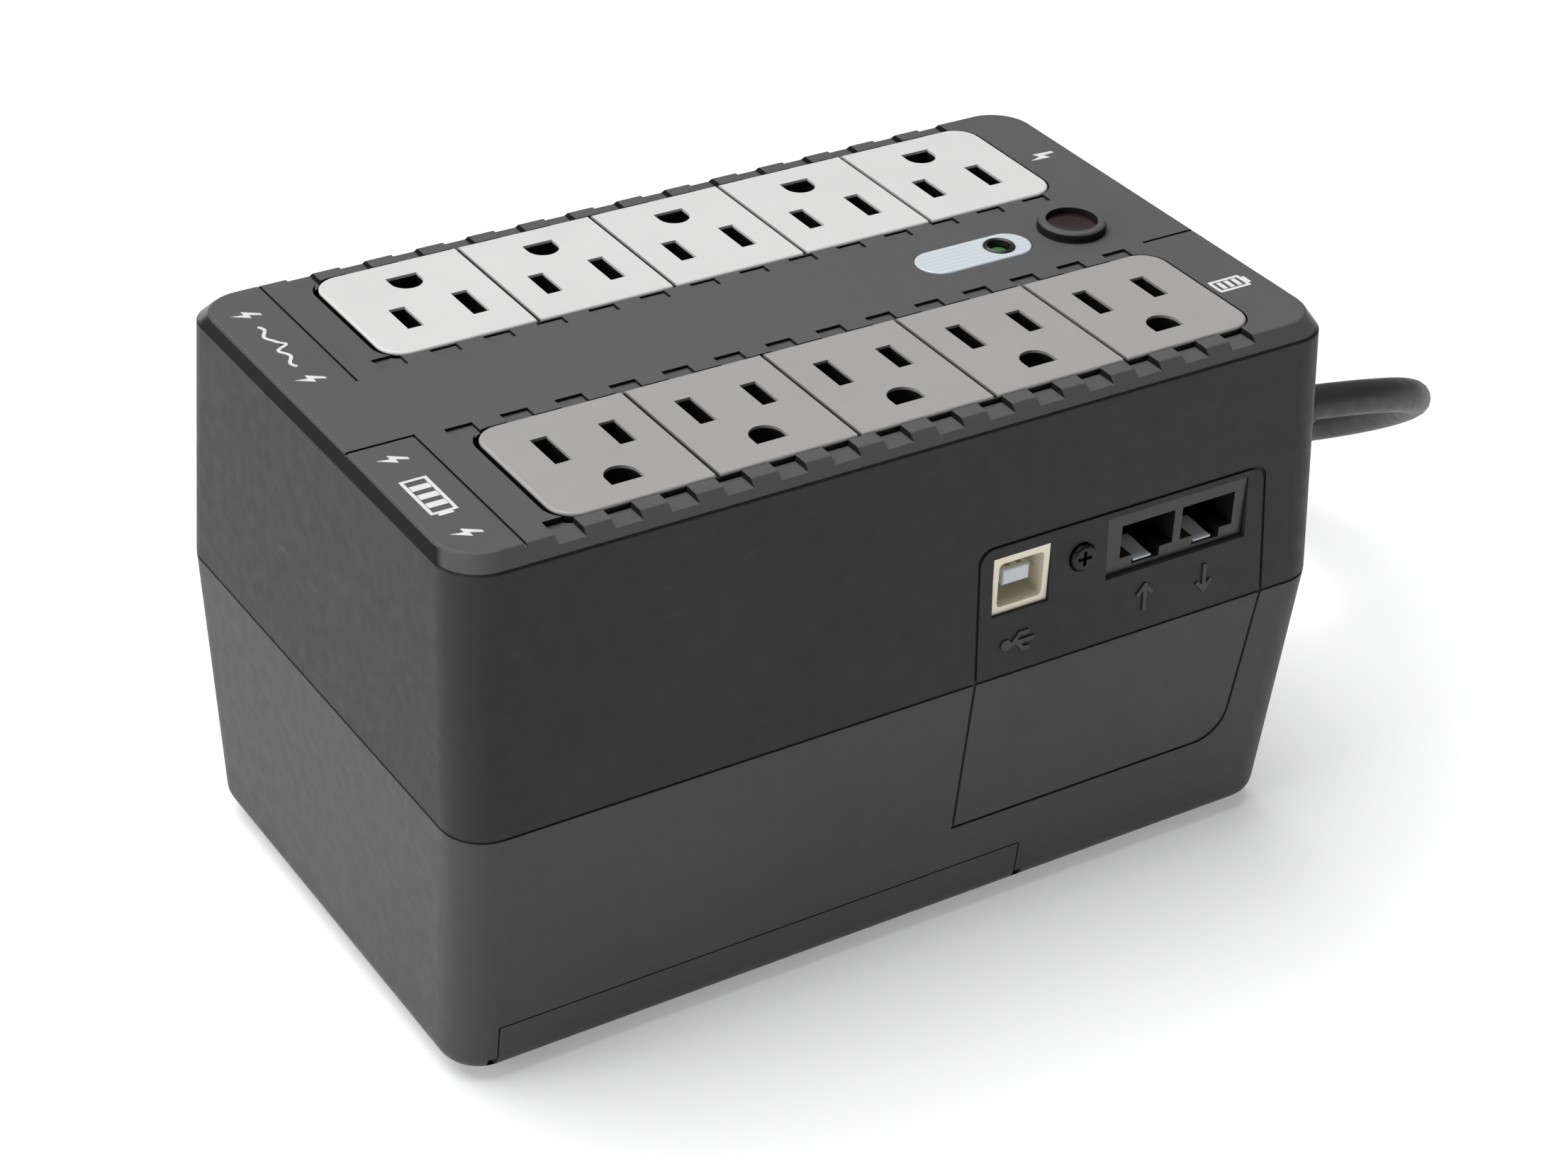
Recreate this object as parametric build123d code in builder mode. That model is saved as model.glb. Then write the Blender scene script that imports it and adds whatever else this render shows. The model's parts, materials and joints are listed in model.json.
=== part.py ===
from build123d import *
import math
import os

# Compact standby power supply with ten outlets, millimetres.
# Origin: centre of the footprint, on the surface that the feet stand on.
# +X points to the cord end, +Z is up, -Y is the side with the data ports.

os.makedirs("parts", exist_ok=True)

# ---- Housing -------------------------------------------------------------
foot_height = 2.0
base_size = (178.5, 101.1)
seam_size = (181.5, 111.6)
shoulder_size = (178.8, 105.3)
crown_size = (176.4, 99.3)
base_z = foot_height
seam_z = 56.0
shoulder_z = 105.2
crown_z = 108.0
corner_radius = 8.0
wall = 2.4
seam_line = 0.4
lip_height = 3.0
line_width = 0.6
line_depth = 0.5

# ---- Outlet banks --------------------------------------------------------
bank_x = 4.08
bank_y = 26.3
outlet_count = 5
outlet_pitch = 27.94
blade_spacing = 12.7
ground_offset = 12.1
plate_length = 143.0
plate_width = 31.8
plate_y = 30.5
plate_radius = 5.0
plate_top_z = 108.2
flange_z = 103.4
flange_top_z = 105.0
flange_margin = 1.6
plate_gap = 0.3
end_gap = 1.1
neutral_slot = (3.2, 8.9)
hot_slot = (3.2, 7.8)
ground_width = 6.2
ground_length = 5.2
body_bottom_z = 92.0
clip_top_z = 101.5
strip_thickness = 0.8

# ---- Notches beside the outlet plates --------------------------------------
notch_pitch = 10.53
notch_count = 14
notch_length = 5.3
notch_first_end_x = -65.15
notch_reach = 3.0
inner_notch_depth = 0.6
outer_notch_depth = 1.2

# ---- Controls on top -----------------------------------------------------
button_x = 68.0
button_radius = 4.65
button_top_z = 109.2
collar_radius = 6.55
collar_top_z = 109.9
bore_radius = 4.95
label_x = 45.6
label_size = (24.8, 9.2)
lamp_x = 51.4
lamp_hole_radius = 2.6
button_bottom_z = 103.4
button_flange_radius = 6.2
button_flange_thickness = 1.0
dish_radius = 18.0
dish_depth = 1.0
plunger_top_z = 99.6
plunger_bottom_z = 95.6
plunger_width = 4.0
switch_width = 8.6
switch_height = 4.8
lens_radius = 2.1
lens_bottom_z = 99.2
lens_height = 8.2
lamp_radius = 1.5
control_board_z = 92.2
control_board_thickness = 1.2
control_board_centre = (58, 0)
control_board_size = (34, 22)

# ---- Port panel on the -Y side ---------------------------------------------
panel_left_x = 11.2
panel_right_x = 76.0
panel_top_z = 82.8
panel_bottom_z = 22.0
usb_centre = (20.7, 74.3)
usb_size = (12.1, 11.6)
screw_centre = (33.9, 75.3)
jack_frame = (39.6, 71.0, 68.9, 80.9)
jack_centres_x = (48.9, 62.55)
jack_mouth = (11.9, 6.8)
jack_mouth_z = 75.2
jack_notch = (6.2, 2.0)
port_face_y = -53.6
usb_back_y = 45.2
port_board_z = 66.6

# ---- Case screws ---------------------------------------------------------
boss_places = ((82, -42), (82, 42))
boss_radius = 3.8

# ---- Battery bay ---------------------------------------------------------
door_low_x = -82.0
door_high_x = 28.2
door_back_y = 45.8
door_lip_z = 12.2
door_thickness = 2.4
door_gap = 0.3
tongue = 1.4
battery_size = (101.0, 90.0, 70.0)
battery_x = -30.8
battery_y = 1.0
battery_bottom_z = 5.8
divider_x = 29.0

# ---- Main board and transformer ------------------------------------------
board_z = 79.2
board_thickness = 1.6
board_posts = ((-74, 40), (-74, -26), (38.7, 10.9), (38.7, -10.9))
post_radius = 2.0
board_centre = (-4, 7)
board_size = (150, 78)
board_screw_head = 1.8
relay_places = ((-62, 0), (-40, 0), (-18, 0))
relay_size = (19.0, 15.5, 15.5)
capacitor_places = ((2, 0), (16, 0))
capacitor_radius = 6.2
capacitor_height = 20.0
heat_sink_x = 31
heat_sink_size = (11.0, 24.0, 10.4)
fin_pitch = 4.6
fin_count = 6
transistor_places = ((-70, 22), (-58, 22), (-70, 32), (-58, 32))
transistor_size = (10.2, 4.6, 9.2)
choke_place = (-36, 29)
choke_radii = (9.5, 4.0)
choke_height = 8.5
varistor_xs = (-16, -8, 0)
varistor_y = 30
varistor_radius = 4.9
varistor_thickness = 3.6
buzzer_place = (18, 29)
buzzer_radius = 6.0
buzzer_height = 8.0
fuse_y = 26
fuse_rise = 5.0
fuse_radius = 2.5
fuse_start_x = 29
fuse_length = 20
fuse_clip_xs = (32, 46)
transformer_x = 59.0
transformer_screws = ((transformer_x, -41.5), (transformer_x, 41.5))
core_size = (34.0, 66.0, 55.0)
winding_size = (50.0, 42.0, 31.0)
core_base_z = 6.0
bracket_base_z = 5.8

# ---- Cord end (+X) -------------------------------------------------------
cord_diameter = 7.0
cord_exit_y = -22.0
cord_exit_z = 69.3
relief_length = 22.0
breaker_y = 18.0
breaker_z = 76.0
breaker_well = 17.0
breaker_well_depth = 3.4
coil_centre = (66.0, 116.0)
coil_turn_radii = (30.8, 41.6)
coil_base_z = 0.7
coil_layer_height = 7.1
coil_layers = 4
tie_width = 7.0
tie_thickness = 0.6
plug_length = 34.0


def write(part, name):
    """Label one finished piece and write it to its own STEP file."""
    part.label = name
    export_step(part, f"parts/{name}.step")


def size_at(z):
    """Outer length and width of the housing at a height."""
    rings = [(base_z, base_size), (seam_z, seam_size), (shoulder_z, shoulder_size), (crown_z, crown_size)]
    for (z0, low), (z1, high) in zip(rings, rings[1:]):
        if z <= z1:
            t = (z - z0) / (z1 - z0)
            return low[0] + (high[0] - low[0]) * t, low[1] + (high[1] - low[1]) * t
    return crown_size


def housing_block(low_z, high_z, inset):
    """The housing between two heights as one solid, drawn in by inset on every side."""
    with BuildPart() as block:
        for z in (low_z, high_z):
            length, width = size_at(z)
            with BuildSketch(Plane.XY.offset(z)):
                RectangleRounded(length - 2 * inset, width - 2 * inset, corner_radius - inset)
        loft(ruled=True)
    return block.part


def box_between(low, high):
    """A plain block between two opposite corners."""
    size = [b - a for a, b in zip(low, high)]
    centre = [(a + b) / 2 for a, b in zip(low, high)]
    return Pos(*centre) * Box(*size)


def rim_between(low_z, high_z):
    """The outermost skin of the housing between two heights, cut away to leave the seam line."""
    return housing_block(low_z, high_z, -0.2) - housing_block(low_z, high_z, seam_line)


def face_y(z):
    """Where the -Y face of the housing is at a height."""
    return -size_at(z)[1] / 2


def end_x(z):
    """Where the +X face of the housing is at a height."""
    return size_at(z)[0] / 2


def bank_plane(turn, z):
    """A bank's own plane: turn is 1 for the backup bank and -1 for the surge bank."""
    return Plane(origin=(bank_x, 0, z), x_dir=(turn, 0, 0), z_dir=(0, 0, 1))


# ---- Housing solids that several pieces are cut from ------------------------
case_solid = housing_block(base_z, seam_z, 0)
case_solid = fillet(case_solid.faces().sort_by(Axis.Z)[0].edges(), 4.0)
case_cavity = housing_block(base_z + wall, seam_z, wall)
case_cavity = fillet(case_cavity.faces().sort_by(Axis.Z)[0].edges(), 2.0)
cover_cavity = housing_block(seam_z, shoulder_z, wall)


def panel_outline(inset):
    """The port panel's outline, drawn in by inset, as a prism through the -Y wall."""
    with BuildPart() as prism:
        with BuildSketch(Plane.XZ.offset(40)):
            with BuildLine():
                Polyline(
                    (panel_left_x + inset, panel_top_z - inset),
                    (panel_left_x + inset, panel_bottom_z + inset),
                    (panel_right_x - 2.0 - inset, panel_bottom_z + inset),
                    (panel_right_x + 0.4 - inset, seam_z),
                    (panel_right_x - 0.8 - inset, panel_top_z - inset),
                    close=True,
                )
            make_face()
            fillet(vertices().sort_by(Axis.Y)[-2:], 3.0)
            fillet(vertices().sort_by(Axis.Y)[:2].sort_by(Axis.X)[-1], 7.0)
        extrude(amount=30)
    return prism.part


panel_line = panel_outline(0) - panel_outline(line_width)
line_floor_low = housing_block(base_z, seam_z, line_depth)
line_floor_high = housing_block(seam_z, shoulder_z, line_depth)

# ---- Top cover -----------------------------------------------------------
cover_walls = housing_block(seam_z, shoulder_z, 0)
cover_crown = housing_block(shoulder_z, crown_z, 0)
cover_rim = rim_between(seam_z, seam_z + seam_line / 2)
lip_rebate = housing_block(seam_z, seam_z + lip_height + 0.2, 1.1)
high_panel_line = panel_line - line_floor_high
well_floor_x = end_x(breaker_z) - breaker_well_depth
well_half = breaker_well / 2
well_space = box_between(
    (well_floor_x, breaker_y - well_half, breaker_z - well_half),
    (well_floor_x + 10, breaker_y + well_half, breaker_z + well_half),
)
well_space = fillet(well_space.edges().filter_by(Axis.X), 2.5)
walls_half = well_half + wall
well_walls = box_between(
    (well_floor_x - wall, breaker_y - walls_half, breaker_z - walls_half),
    (well_floor_x + 2.0, breaker_y + walls_half, breaker_z + walls_half),
)
notch_xs = [notch_first_end_x + index * notch_pitch - notch_length / 2 for index in range(notch_count)]
inner_edge = plate_y - plate_width / 2
outer_edge = plate_y + plate_width / 2
with BuildPart() as top_cover:
    add(cover_walls)
    add(cover_crown)
    fillet(top_cover.faces().sort_by(Axis.Z)[-1].edges(), 0.8)
    add(cover_rim, mode=Mode.SUBTRACT)
    add(cover_cavity, mode=Mode.SUBTRACT)
    add(lip_rebate, mode=Mode.SUBTRACT)
    for turn in (1, -1):
        # Opening that the outlet plate stands in, wider at the -X end.
        with BuildSketch(bank_plane(turn, flange_top_z)):
            with Locations((-turn * (end_gap - plate_gap) / 2, -plate_y)):
                RectangleRounded(
                    plate_length + end_gap + plate_gap,
                    plate_width + 2 * plate_gap,
                    plate_radius + plate_gap,
                )
        extrude(amount=10, mode=Mode.SUBTRACT)
        # Notches along both long edges: shallow inner ones, and outer ones that run out through the bevel.
        with BuildSketch(Plane.XY.offset(crown_z - inner_notch_depth)):
            with Locations(*[(x, turn * ((notch_reach - 1) / 2 - inner_edge)) for x in notch_xs]):
                Rectangle(notch_length, notch_reach + 1)
        extrude(amount=4, mode=Mode.SUBTRACT)
        with BuildSketch(Plane.XY.offset(crown_z - outer_notch_depth)):
            with Locations(*[(x, -turn * (outer_edge + 4)) for x in notch_xs]):
                Rectangle(notch_length, 10)
        extrude(amount=4, mode=Mode.SUBTRACT)
    # Raised collar round the power button.
    with BuildSketch(Plane.XY.offset(crown_z - 0.5)):
        with Locations((button_x, 0)):
            Circle(collar_radius)
    extrude(amount=collar_top_z - crown_z + 0.5)
    fillet(top_cover.faces().sort_by(Axis.Z)[-1].edges(), 0.8)
    with BuildSketch(Plane.XY.offset(shoulder_z - 1)):
        with Locations((button_x, 0)):
            Circle(bore_radius)
    extrude(amount=10, mode=Mode.SUBTRACT)
    # Shallow seat for the status label, and the hole under its lamp.
    with BuildSketch(Plane.XY.offset(crown_z - 1.0)):
        with Locations((label_x, 0)):
            SlotOverall(*label_size)
    extrude(amount=3, mode=Mode.SUBTRACT)
    with BuildSketch(Plane.XY.offset(shoulder_z - 1)):
        with Locations((lamp_x, 0)):
            Circle(lamp_hole_radius)
    extrude(amount=5, mode=Mode.SUBTRACT)
    # Lines that divide the two banks, cut into the crown.
    with BuildSketch(Plane.XY.offset(crown_z - line_depth)):
        with Locations((-75.8, 36.0)):
            Rectangle(line_width, 52)
        with Locations((-75.8, -31.5)):
            Rectangle(line_width, 41.6)
        with Locations((-83.5, -11.0)):
            Rectangle(15.4, line_width)
        with Locations((83.0, -11.2)):
            Rectangle(13.0, line_width)
    extrude(amount=3, mode=Mode.SUBTRACT)
    # Port panel: its outline, then the USB, jack and screw openings.
    add(high_panel_line, mode=Mode.SUBTRACT)
    with BuildSketch(Plane.XZ.offset(40)):
        with Locations(usb_centre):
            Rectangle(usb_size[0] + 0.3, usb_size[1] + 0.3)
        with Locations(((jack_frame[0] + jack_frame[1]) / 2, (jack_frame[2] + jack_frame[3]) / 2)):
            Rectangle(jack_frame[1] - jack_frame[0] + 0.3, jack_frame[3] - jack_frame[2] + 0.3)
        with Locations(screw_centre):
            Circle(1.7)
    extrude(amount=25, mode=Mode.SUBTRACT)
    with BuildSketch(Plane.XZ.offset(-face_y(screw_centre[1]) - 0.7)):
        with Locations(screw_centre):
            Circle(2.9)
    extrude(amount=5, mode=Mode.SUBTRACT)
    # Well that the breaker is recessed in, then the cord and breaker holes in the +X end.
    add(well_walls)
    add(well_space, mode=Mode.SUBTRACT)
    with BuildSketch(Plane.YZ.offset(80)):
        with Locations((cord_exit_y, cord_exit_z)):
            Circle(4.6)
        with Locations((breaker_y, breaker_z)):
            Circle(4.8)
    extrude(amount=15, mode=Mode.SUBTRACT)
    # Screw bosses at the +X corners.
    with BuildSketch(Plane.XY.offset(seam_z)):
        with Locations(*boss_places):
            Circle(boss_radius)
    extrude(amount=shoulder_z - seam_z)
    with BuildSketch(Plane.XY.offset(seam_z)):
        with Locations(*boss_places):
            Circle(1.6)
    extrude(amount=20, mode=Mode.SUBTRACT)
    # Posts that the main board hangs from.
    with BuildSketch(Plane.XY.offset(board_z + board_thickness)):
        with Locations(*board_posts):
            Circle(post_radius)
    extrude(amount=shoulder_z - board_z - board_thickness)
    with BuildSketch(Plane.XY.offset(board_z)):
        with Locations(*board_posts):
            Circle(1.1)
    extrude(amount=12, mode=Mode.SUBTRACT)
write(top_cover.part, "top_cover")

# ---- Bottom case ---------------------------------------------------------
door_high_z = door_lip_z + door_gap
bay_opening = box_between((door_low_x, -60, 0), (door_high_x, door_back_y, base_z + wall + 0.01))
lip_opening = box_between((door_low_x, -60, 0), (door_high_x, -45, door_high_z))
rail_slots = [
    box_between((x0, -60, 3.2), (x1, door_back_y, 5.2))
    for x0, x1 in ((door_low_x - tongue - 0.2, door_low_x), (door_high_x, door_high_x + tongue + 0.2))
]
case_rim = rim_between(seam_z - seam_line, seam_z)
lip_outside = housing_block(seam_z - 2, seam_z + lip_height, 1.3)
lip_inside = housing_block(seam_z - 2, seam_z + lip_height, wall)
locating_lip = lip_outside - lip_inside
bay_wall = box_between((divider_x, -47.4, base_z + 1), (divider_x + 2, 47.4, seam_z + 2))
low_panel_line = panel_line - line_floor_low
with BuildPart() as bottom_case:
    add(case_solid)
    add(case_rim, mode=Mode.SUBTRACT)
    add(case_cavity, mode=Mode.SUBTRACT)
    # Locating lip that stands up inside the cover.
    add(locating_lip)
    # Wall between the battery bay and the transformer bay.
    add(bay_wall)
    with BuildSketch(Plane.XY.offset(base_z + 1)):
        with Locations(*boss_places):
            Circle(boss_radius)
    extrude(amount=seam_z - base_z - 1)
    with BuildSketch(Plane.XY):
        with Locations(*boss_places):
            Circle(1.8)
    extrude(amount=80, mode=Mode.SUBTRACT)
    with BuildSketch(Plane.XY):
        with Locations(*boss_places):
            Circle(3.3)
    extrude(amount=6, mode=Mode.SUBTRACT)
    # Seats for the transformer's two screws, with their pilot holes.
    with BuildSketch(Plane.XY.offset(base_z + 1)):
        with Locations(*transformer_screws):
            Circle(4.4)
    extrude(amount=bracket_base_z - base_z - 1)
    with BuildSketch(Plane.XY.offset(base_z + 1.6)):
        with Locations(*transformer_screws):
            Circle(1.6)
    extrude(amount=4, mode=Mode.SUBTRACT)
    add(low_panel_line, mode=Mode.SUBTRACT)
    add(bay_opening, mode=Mode.SUBTRACT)
    add(lip_opening, mode=Mode.SUBTRACT)
    for slot in rail_slots:
        add(slot, mode=Mode.SUBTRACT)
write(bottom_case.part, "bottom_case")

# ---- Battery door: floor plate, front lip and side tongues --------------------
door_envelope = box_between(
    (door_low_x + door_gap, -60, 0), (door_high_x - door_gap, door_back_y - door_gap, base_z + door_thickness)
)
lip_envelope = box_between((door_low_x + door_gap, -60, 0), (door_high_x - door_gap, -44, door_lip_z))
door_floor = case_solid & door_envelope
door_lip = (case_solid & lip_envelope) - case_cavity
door_tongues = [
    box_between((x0, -44, 3.4), (x1, door_back_y - 1, base_z + door_thickness))
    for x0, x1 in ((door_low_x - tongue + 0.1, door_low_x + 1), (door_high_x - 1, door_high_x + tongue - 0.1))
]
with BuildPart() as battery_door:
    add(door_floor)
    add(door_lip)
    for side_tongue in door_tongues:
        add(side_tongue)
    # Finger ridges under the front edge.
    with BuildSketch(Plane.XY.offset(base_z)):
        with Locations((-26.9, -40)):
            with GridLocations(0, 2.4, 1, 4):
                SlotOverall(26, 1.2)
    extrude(amount=0.8, mode=Mode.SUBTRACT)
write(battery_door.part, "battery_door")

# ---- Rubber feet ---------------------------------------------------------
foot_places = {"case_feet": ((62, -38), (62, 38)), "door_feet": ((-72, -36), (-72, 36))}
for name, places in foot_places.items():
    with BuildPart() as feet:
        with BuildSketch(Plane.XY):
            with Locations(*places):
                Circle(5.0)
        extrude(amount=foot_height)
        fillet(feet.faces().group_by(Axis.Z)[0].edges(), 0.5)
    write(feet.part, name)

# ---- Case screws, driven up from below into the cover's bosses -----------------
with BuildPart() as case_screws:
    with BuildSketch(Plane.XY.offset(3.6)):
        with Locations(*boss_places):
            Circle(2.9)
    extrude(amount=2.4)
    with BuildSketch(Plane.XY.offset(6.0)):
        with Locations(*boss_places):
            Circle(1.5)
    extrude(amount=64)
    with BuildSketch(Plane.XY.offset(3.6)):
        with Locations(*boss_places):
            Rectangle(3.4, 0.8)
            Rectangle(0.8, 3.4)
    extrude(amount=1.4, mode=Mode.SUBTRACT)
write(case_screws.part, "case_screws")

# ---- Outlet banks --------------------------------------------------------
outlet_xs = [(index - (outlet_count - 1) / 2) * outlet_pitch for index in range(outlet_count)]
divider_xs = [(a + b) / 2 for a, b in zip(outlet_xs, outlet_xs[1:])]
half_spacing = blade_spacing / 2
ground_y = -bank_y - ground_offset
strip_y = {"hot": -bank_y + 6.3, "neutral": -bank_y - 6.0}


def cut_slots(plane, depth):
    """Cut the blade slots and ground holes of one bank downwards from a plane."""
    with BuildSketch(plane) as slots:
        for x in outlet_xs:
            with Locations((x - half_spacing, -bank_y)):
                Rectangle(*neutral_slot)
            with Locations((x + half_spacing, -bank_y)):
                Rectangle(*hot_slot)
            with BuildLine():
                low = (x - ground_width / 2, ground_y - ground_length / 2)
                high = (x + ground_width / 2, ground_y - ground_length / 2)
                flank = ground_length - ground_width / 2
                Polyline((low[0], low[1] + flank), low, high, (high[0], high[1] + flank))
                ThreePointArc(
                    (high[0], high[1] + flank),
                    (x, ground_y + ground_length / 2),
                    (low[0], low[1] + flank),
                )
            make_face()
    return extrude(slots.sketch, amount=-depth)


for bank, turn in (("backup", 1), ("surge", -1)):
    with BuildPart() as plate:
        with BuildSketch(bank_plane(turn, flange_z)):
            with Locations((0, -plate_y)):
                RectangleRounded(
                    plate_length + 2 * flange_margin, plate_width + 2 * flange_margin, plate_radius
                )
        extrude(amount=flange_top_z - flange_z)
        with BuildSketch(bank_plane(turn, flange_top_z)):
            with Locations((0, -plate_y)):
                RectangleRounded(plate_length, plate_width, plate_radius)
        extrude(amount=plate_top_z - flange_top_z)
        fillet(plate.faces().sort_by(Axis.Z)[-1].edges(), 0.5)
        with BuildSketch(bank_plane(turn, plate_top_z - 0.7)):
            with Locations(*[(x, -plate_y) for x in divider_xs]):
                Rectangle(0.9, plate_width + 2)
        extrude(amount=2, mode=Mode.SUBTRACT)
        add(cut_slots(bank_plane(turn, plate_top_z + 1), 8), mode=Mode.SUBTRACT)
    write(plate.part, f"{bank}_outlet_plate")

    with BuildPart() as body:
        with BuildSketch(bank_plane(turn, body_bottom_z)):
            with Locations((0, -plate_y)):
                RectangleRounded(plate_length - 2, plate_width - 2, plate_radius - 1)
        extrude(amount=flange_z - body_bottom_z)
        add(cut_slots(bank_plane(turn, flange_z + 1), 5), mode=Mode.SUBTRACT)
        with BuildSketch(bank_plane(turn, body_bottom_z)):
            for x in outlet_xs:
                with Locations((x - half_spacing, -bank_y), (x + half_spacing, -bank_y)):
                    Rectangle(5.2, 10.0)
                with Locations((x, ground_y)):
                    Rectangle(8.0, 7.0)
        extrude(amount=clip_top_z - body_bottom_z, mode=Mode.SUBTRACT)
    write(body.part, f"{bank}_outlet_body")

    for pole, side in (("hot", 1), ("neutral", -1)):
        with BuildPart() as bus:
            clip_xs = [x + side * half_spacing for x in outlet_xs]
            with BuildSketch(bank_plane(turn, body_bottom_z - strip_thickness)):
                with Locations((0, strip_y[pole])):
                    Rectangle(outlet_pitch * 4 + 24, 2.6)
                with Locations(*[(x, -bank_y + side * 1.0) for x in clip_xs]):
                    Rectangle(4.0, 8.4)
            extrude(amount=strip_thickness)
            with BuildSketch(bank_plane(turn, body_bottom_z)):
                for x in clip_xs:
                    with Locations((x - 1.5, -bank_y), (x + 1.5, -bank_y)):
                        Rectangle(0.6, 6.4)
            extrude(amount=8.6)
        write(bus.part, f"{bank}_{pole}_bus")

    with BuildPart() as ground_bus:
        with BuildSketch(bank_plane(turn, body_bottom_z - strip_thickness)):
            with Locations((0, ground_y)):
                Rectangle(outlet_pitch * 4 + 24, 3.4)
        extrude(amount=strip_thickness)
        with BuildSketch(bank_plane(turn, body_bottom_z)):
            for x in outlet_xs:
                with Locations((x - 3.0, ground_y), (x + 3.0, ground_y)):
                    Rectangle(0.6, 3.4)
        extrude(amount=8.6)
    write(ground_bus.part, f"{bank}_ground_bus")

# ---- Power button, its switch and the status lamp -----------------------------
with BuildPart() as power_button:
    with BuildSketch(Plane.XY.offset(button_bottom_z)):
        with Locations((button_x, 0)):
            Circle(button_radius)
    extrude(amount=button_top_z - button_bottom_z)
    fillet(power_button.faces().sort_by(Axis.Z)[-1].edges(), 0.4)
    # Dished top.
    with Locations((button_x, 0, button_top_z + dish_radius - dish_depth)):
        Sphere(dish_radius, mode=Mode.SUBTRACT)
    # Flange that holds it under the cover.
    with BuildSketch(Plane.XY.offset(button_bottom_z - button_flange_thickness)):
        with Locations((button_x, 0)):
            Circle(button_flange_radius)
    extrude(amount=button_flange_thickness)
    with BuildSketch(Plane.XY.offset(plunger_top_z)):
        with Locations((button_x, 0)):
            Rectangle(plunger_width - 1, plunger_width - 1)
    extrude(amount=button_bottom_z - plunger_top_z)
write(power_button.part, "power_button")

with BuildPart() as switch_plunger:
    with BuildSketch(Plane.XY.offset(plunger_bottom_z)):
        with Locations((button_x, 0)):
            Rectangle(plunger_width, plunger_width)
    extrude(amount=plunger_top_z - plunger_bottom_z)
write(switch_plunger.part, "switch_plunger")

switch_base_z = control_board_z + control_board_thickness
with BuildPart() as power_switch:
    with BuildSketch(Plane.XY.offset(switch_base_z)):
        with Locations((button_x, 0)):
            Rectangle(switch_width, switch_width)
    extrude(amount=switch_height)
    fillet(power_switch.edges().filter_by(Axis.Z), 0.5)
    with BuildSketch(Plane.XY.offset(switch_base_z + 0.5)):
        with Locations((button_x, 0)):
            Rectangle(plunger_width + 0.4, plunger_width + 0.4)
    extrude(amount=6, mode=Mode.SUBTRACT)
write(power_switch.part, "power_switch")

with BuildPart() as control_board:
    with BuildSketch(Plane.XY.offset(control_board_z)):
        with Locations(control_board_centre):
            RectangleRounded(*control_board_size, 1.5)
    extrude(amount=control_board_thickness)
write(control_board.part, "control_board")

with BuildPart() as status_label:
    with BuildSketch(Plane.XY.offset(crown_z - 1.0)):
        with Locations((label_x, 0)):
            SlotOverall(label_size[0] - 0.2, label_size[1] - 0.2)
    extrude(amount=1.15)
    fillet(status_label.faces().sort_by(Axis.Z)[-1].edges(), 0.3)
    with BuildSketch(Plane.XY.offset(crown_z - 2)):
        with Locations((lamp_x, 0)):
            Circle(lamp_hole_radius)
    extrude(amount=4, mode=Mode.SUBTRACT)
write(status_label.part, "status_label")

with BuildPart() as status_lens:
    with BuildSketch(Plane.XY.offset(lens_bottom_z)):
        with Locations((lamp_x, 0)):
            Circle(lens_radius)
    extrude(amount=lens_height)
    fillet(status_lens.faces().sort_by(Axis.Z)[-1].edges(), 1.2)
write(status_lens.part, "status_lens")

with BuildPart() as status_lamp:
    with BuildSketch(Plane.XY.offset(switch_base_z)):
        with Locations((lamp_x, 0)):
            Circle(lamp_radius + 0.4)
    extrude(amount=1.0)
    with BuildSketch(Plane.XY.offset(switch_base_z + 1.0)):
        with Locations((lamp_x, 0)):
            Circle(lamp_radius)
    extrude(amount=4.8)
    fillet(status_lamp.faces().sort_by(Axis.Z)[-1].edges(), 1.2)
write(status_lamp.part, "status_lamp")

# ---- Main board and what stands on it ------------------------------------------
board_top = board_z + board_thickness
with BuildPart() as main_board:
    with BuildSketch(Plane.XY.offset(board_z)):
        with Locations(board_centre):
            RectangleRounded(*board_size, 2)
        with Locations(*board_posts):
            Circle(1.4, mode=Mode.SUBTRACT)
    extrude(amount=board_thickness)
write(main_board.part, "main_board")

with BuildPart() as board_screws:
    with BuildSketch(Plane.XY.offset(board_z - board_screw_head)):
        with Locations(*board_posts):
            Circle(2.6)
    extrude(amount=board_screw_head)
    with BuildSketch(Plane.XY.offset(board_z)):
        with Locations(*board_posts):
            Circle(1.05)
    extrude(amount=10)
    with BuildSketch(Plane.XY.offset(board_z - board_screw_head)):
        with Locations(*board_posts):
            Rectangle(3.0, 0.7)
            Rectangle(0.7, 3.0)
    extrude(amount=1.0, mode=Mode.SUBTRACT)
write(board_screws.part, "board_screws")

with BuildPart() as relays:
    with BuildSketch(Plane.XY.offset(board_top)):
        with Locations(*relay_places):
            Rectangle(*relay_size[:2])
    extrude(amount=relay_size[2])
    fillet(relays.edges().filter_by(Axis.Z), 0.8)
write(relays.part, "relays")

with BuildPart() as filter_capacitors:
    with BuildSketch(Plane.XY.offset(board_top)):
        with Locations(*capacitor_places):
            Circle(capacitor_radius)
    extrude(amount=capacitor_height)
    fillet(filter_capacitors.faces().group_by(Axis.Z)[-1].edges(), 0.8)
write(filter_capacitors.part, "filter_capacitors")

with BuildPart() as heat_sink:
    with BuildSketch(Plane.XY.offset(board_top)):
        with Locations((heat_sink_x, 0)):
            Rectangle(3.0, heat_sink_size[1])
            with GridLocations(0, fin_pitch, 1, fin_count):
                Rectangle(heat_sink_size[0], 1.2)
    extrude(amount=heat_sink_size[2])
write(heat_sink.part, "heat_sink")

with BuildPart() as power_transistors:
    with BuildSketch(Plane.XY.offset(board_top)):
        with Locations(*transistor_places):
            Rectangle(*transistor_size[:2])
    extrude(amount=transistor_size[2])
write(power_transistors.part, "power_transistors")

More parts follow.
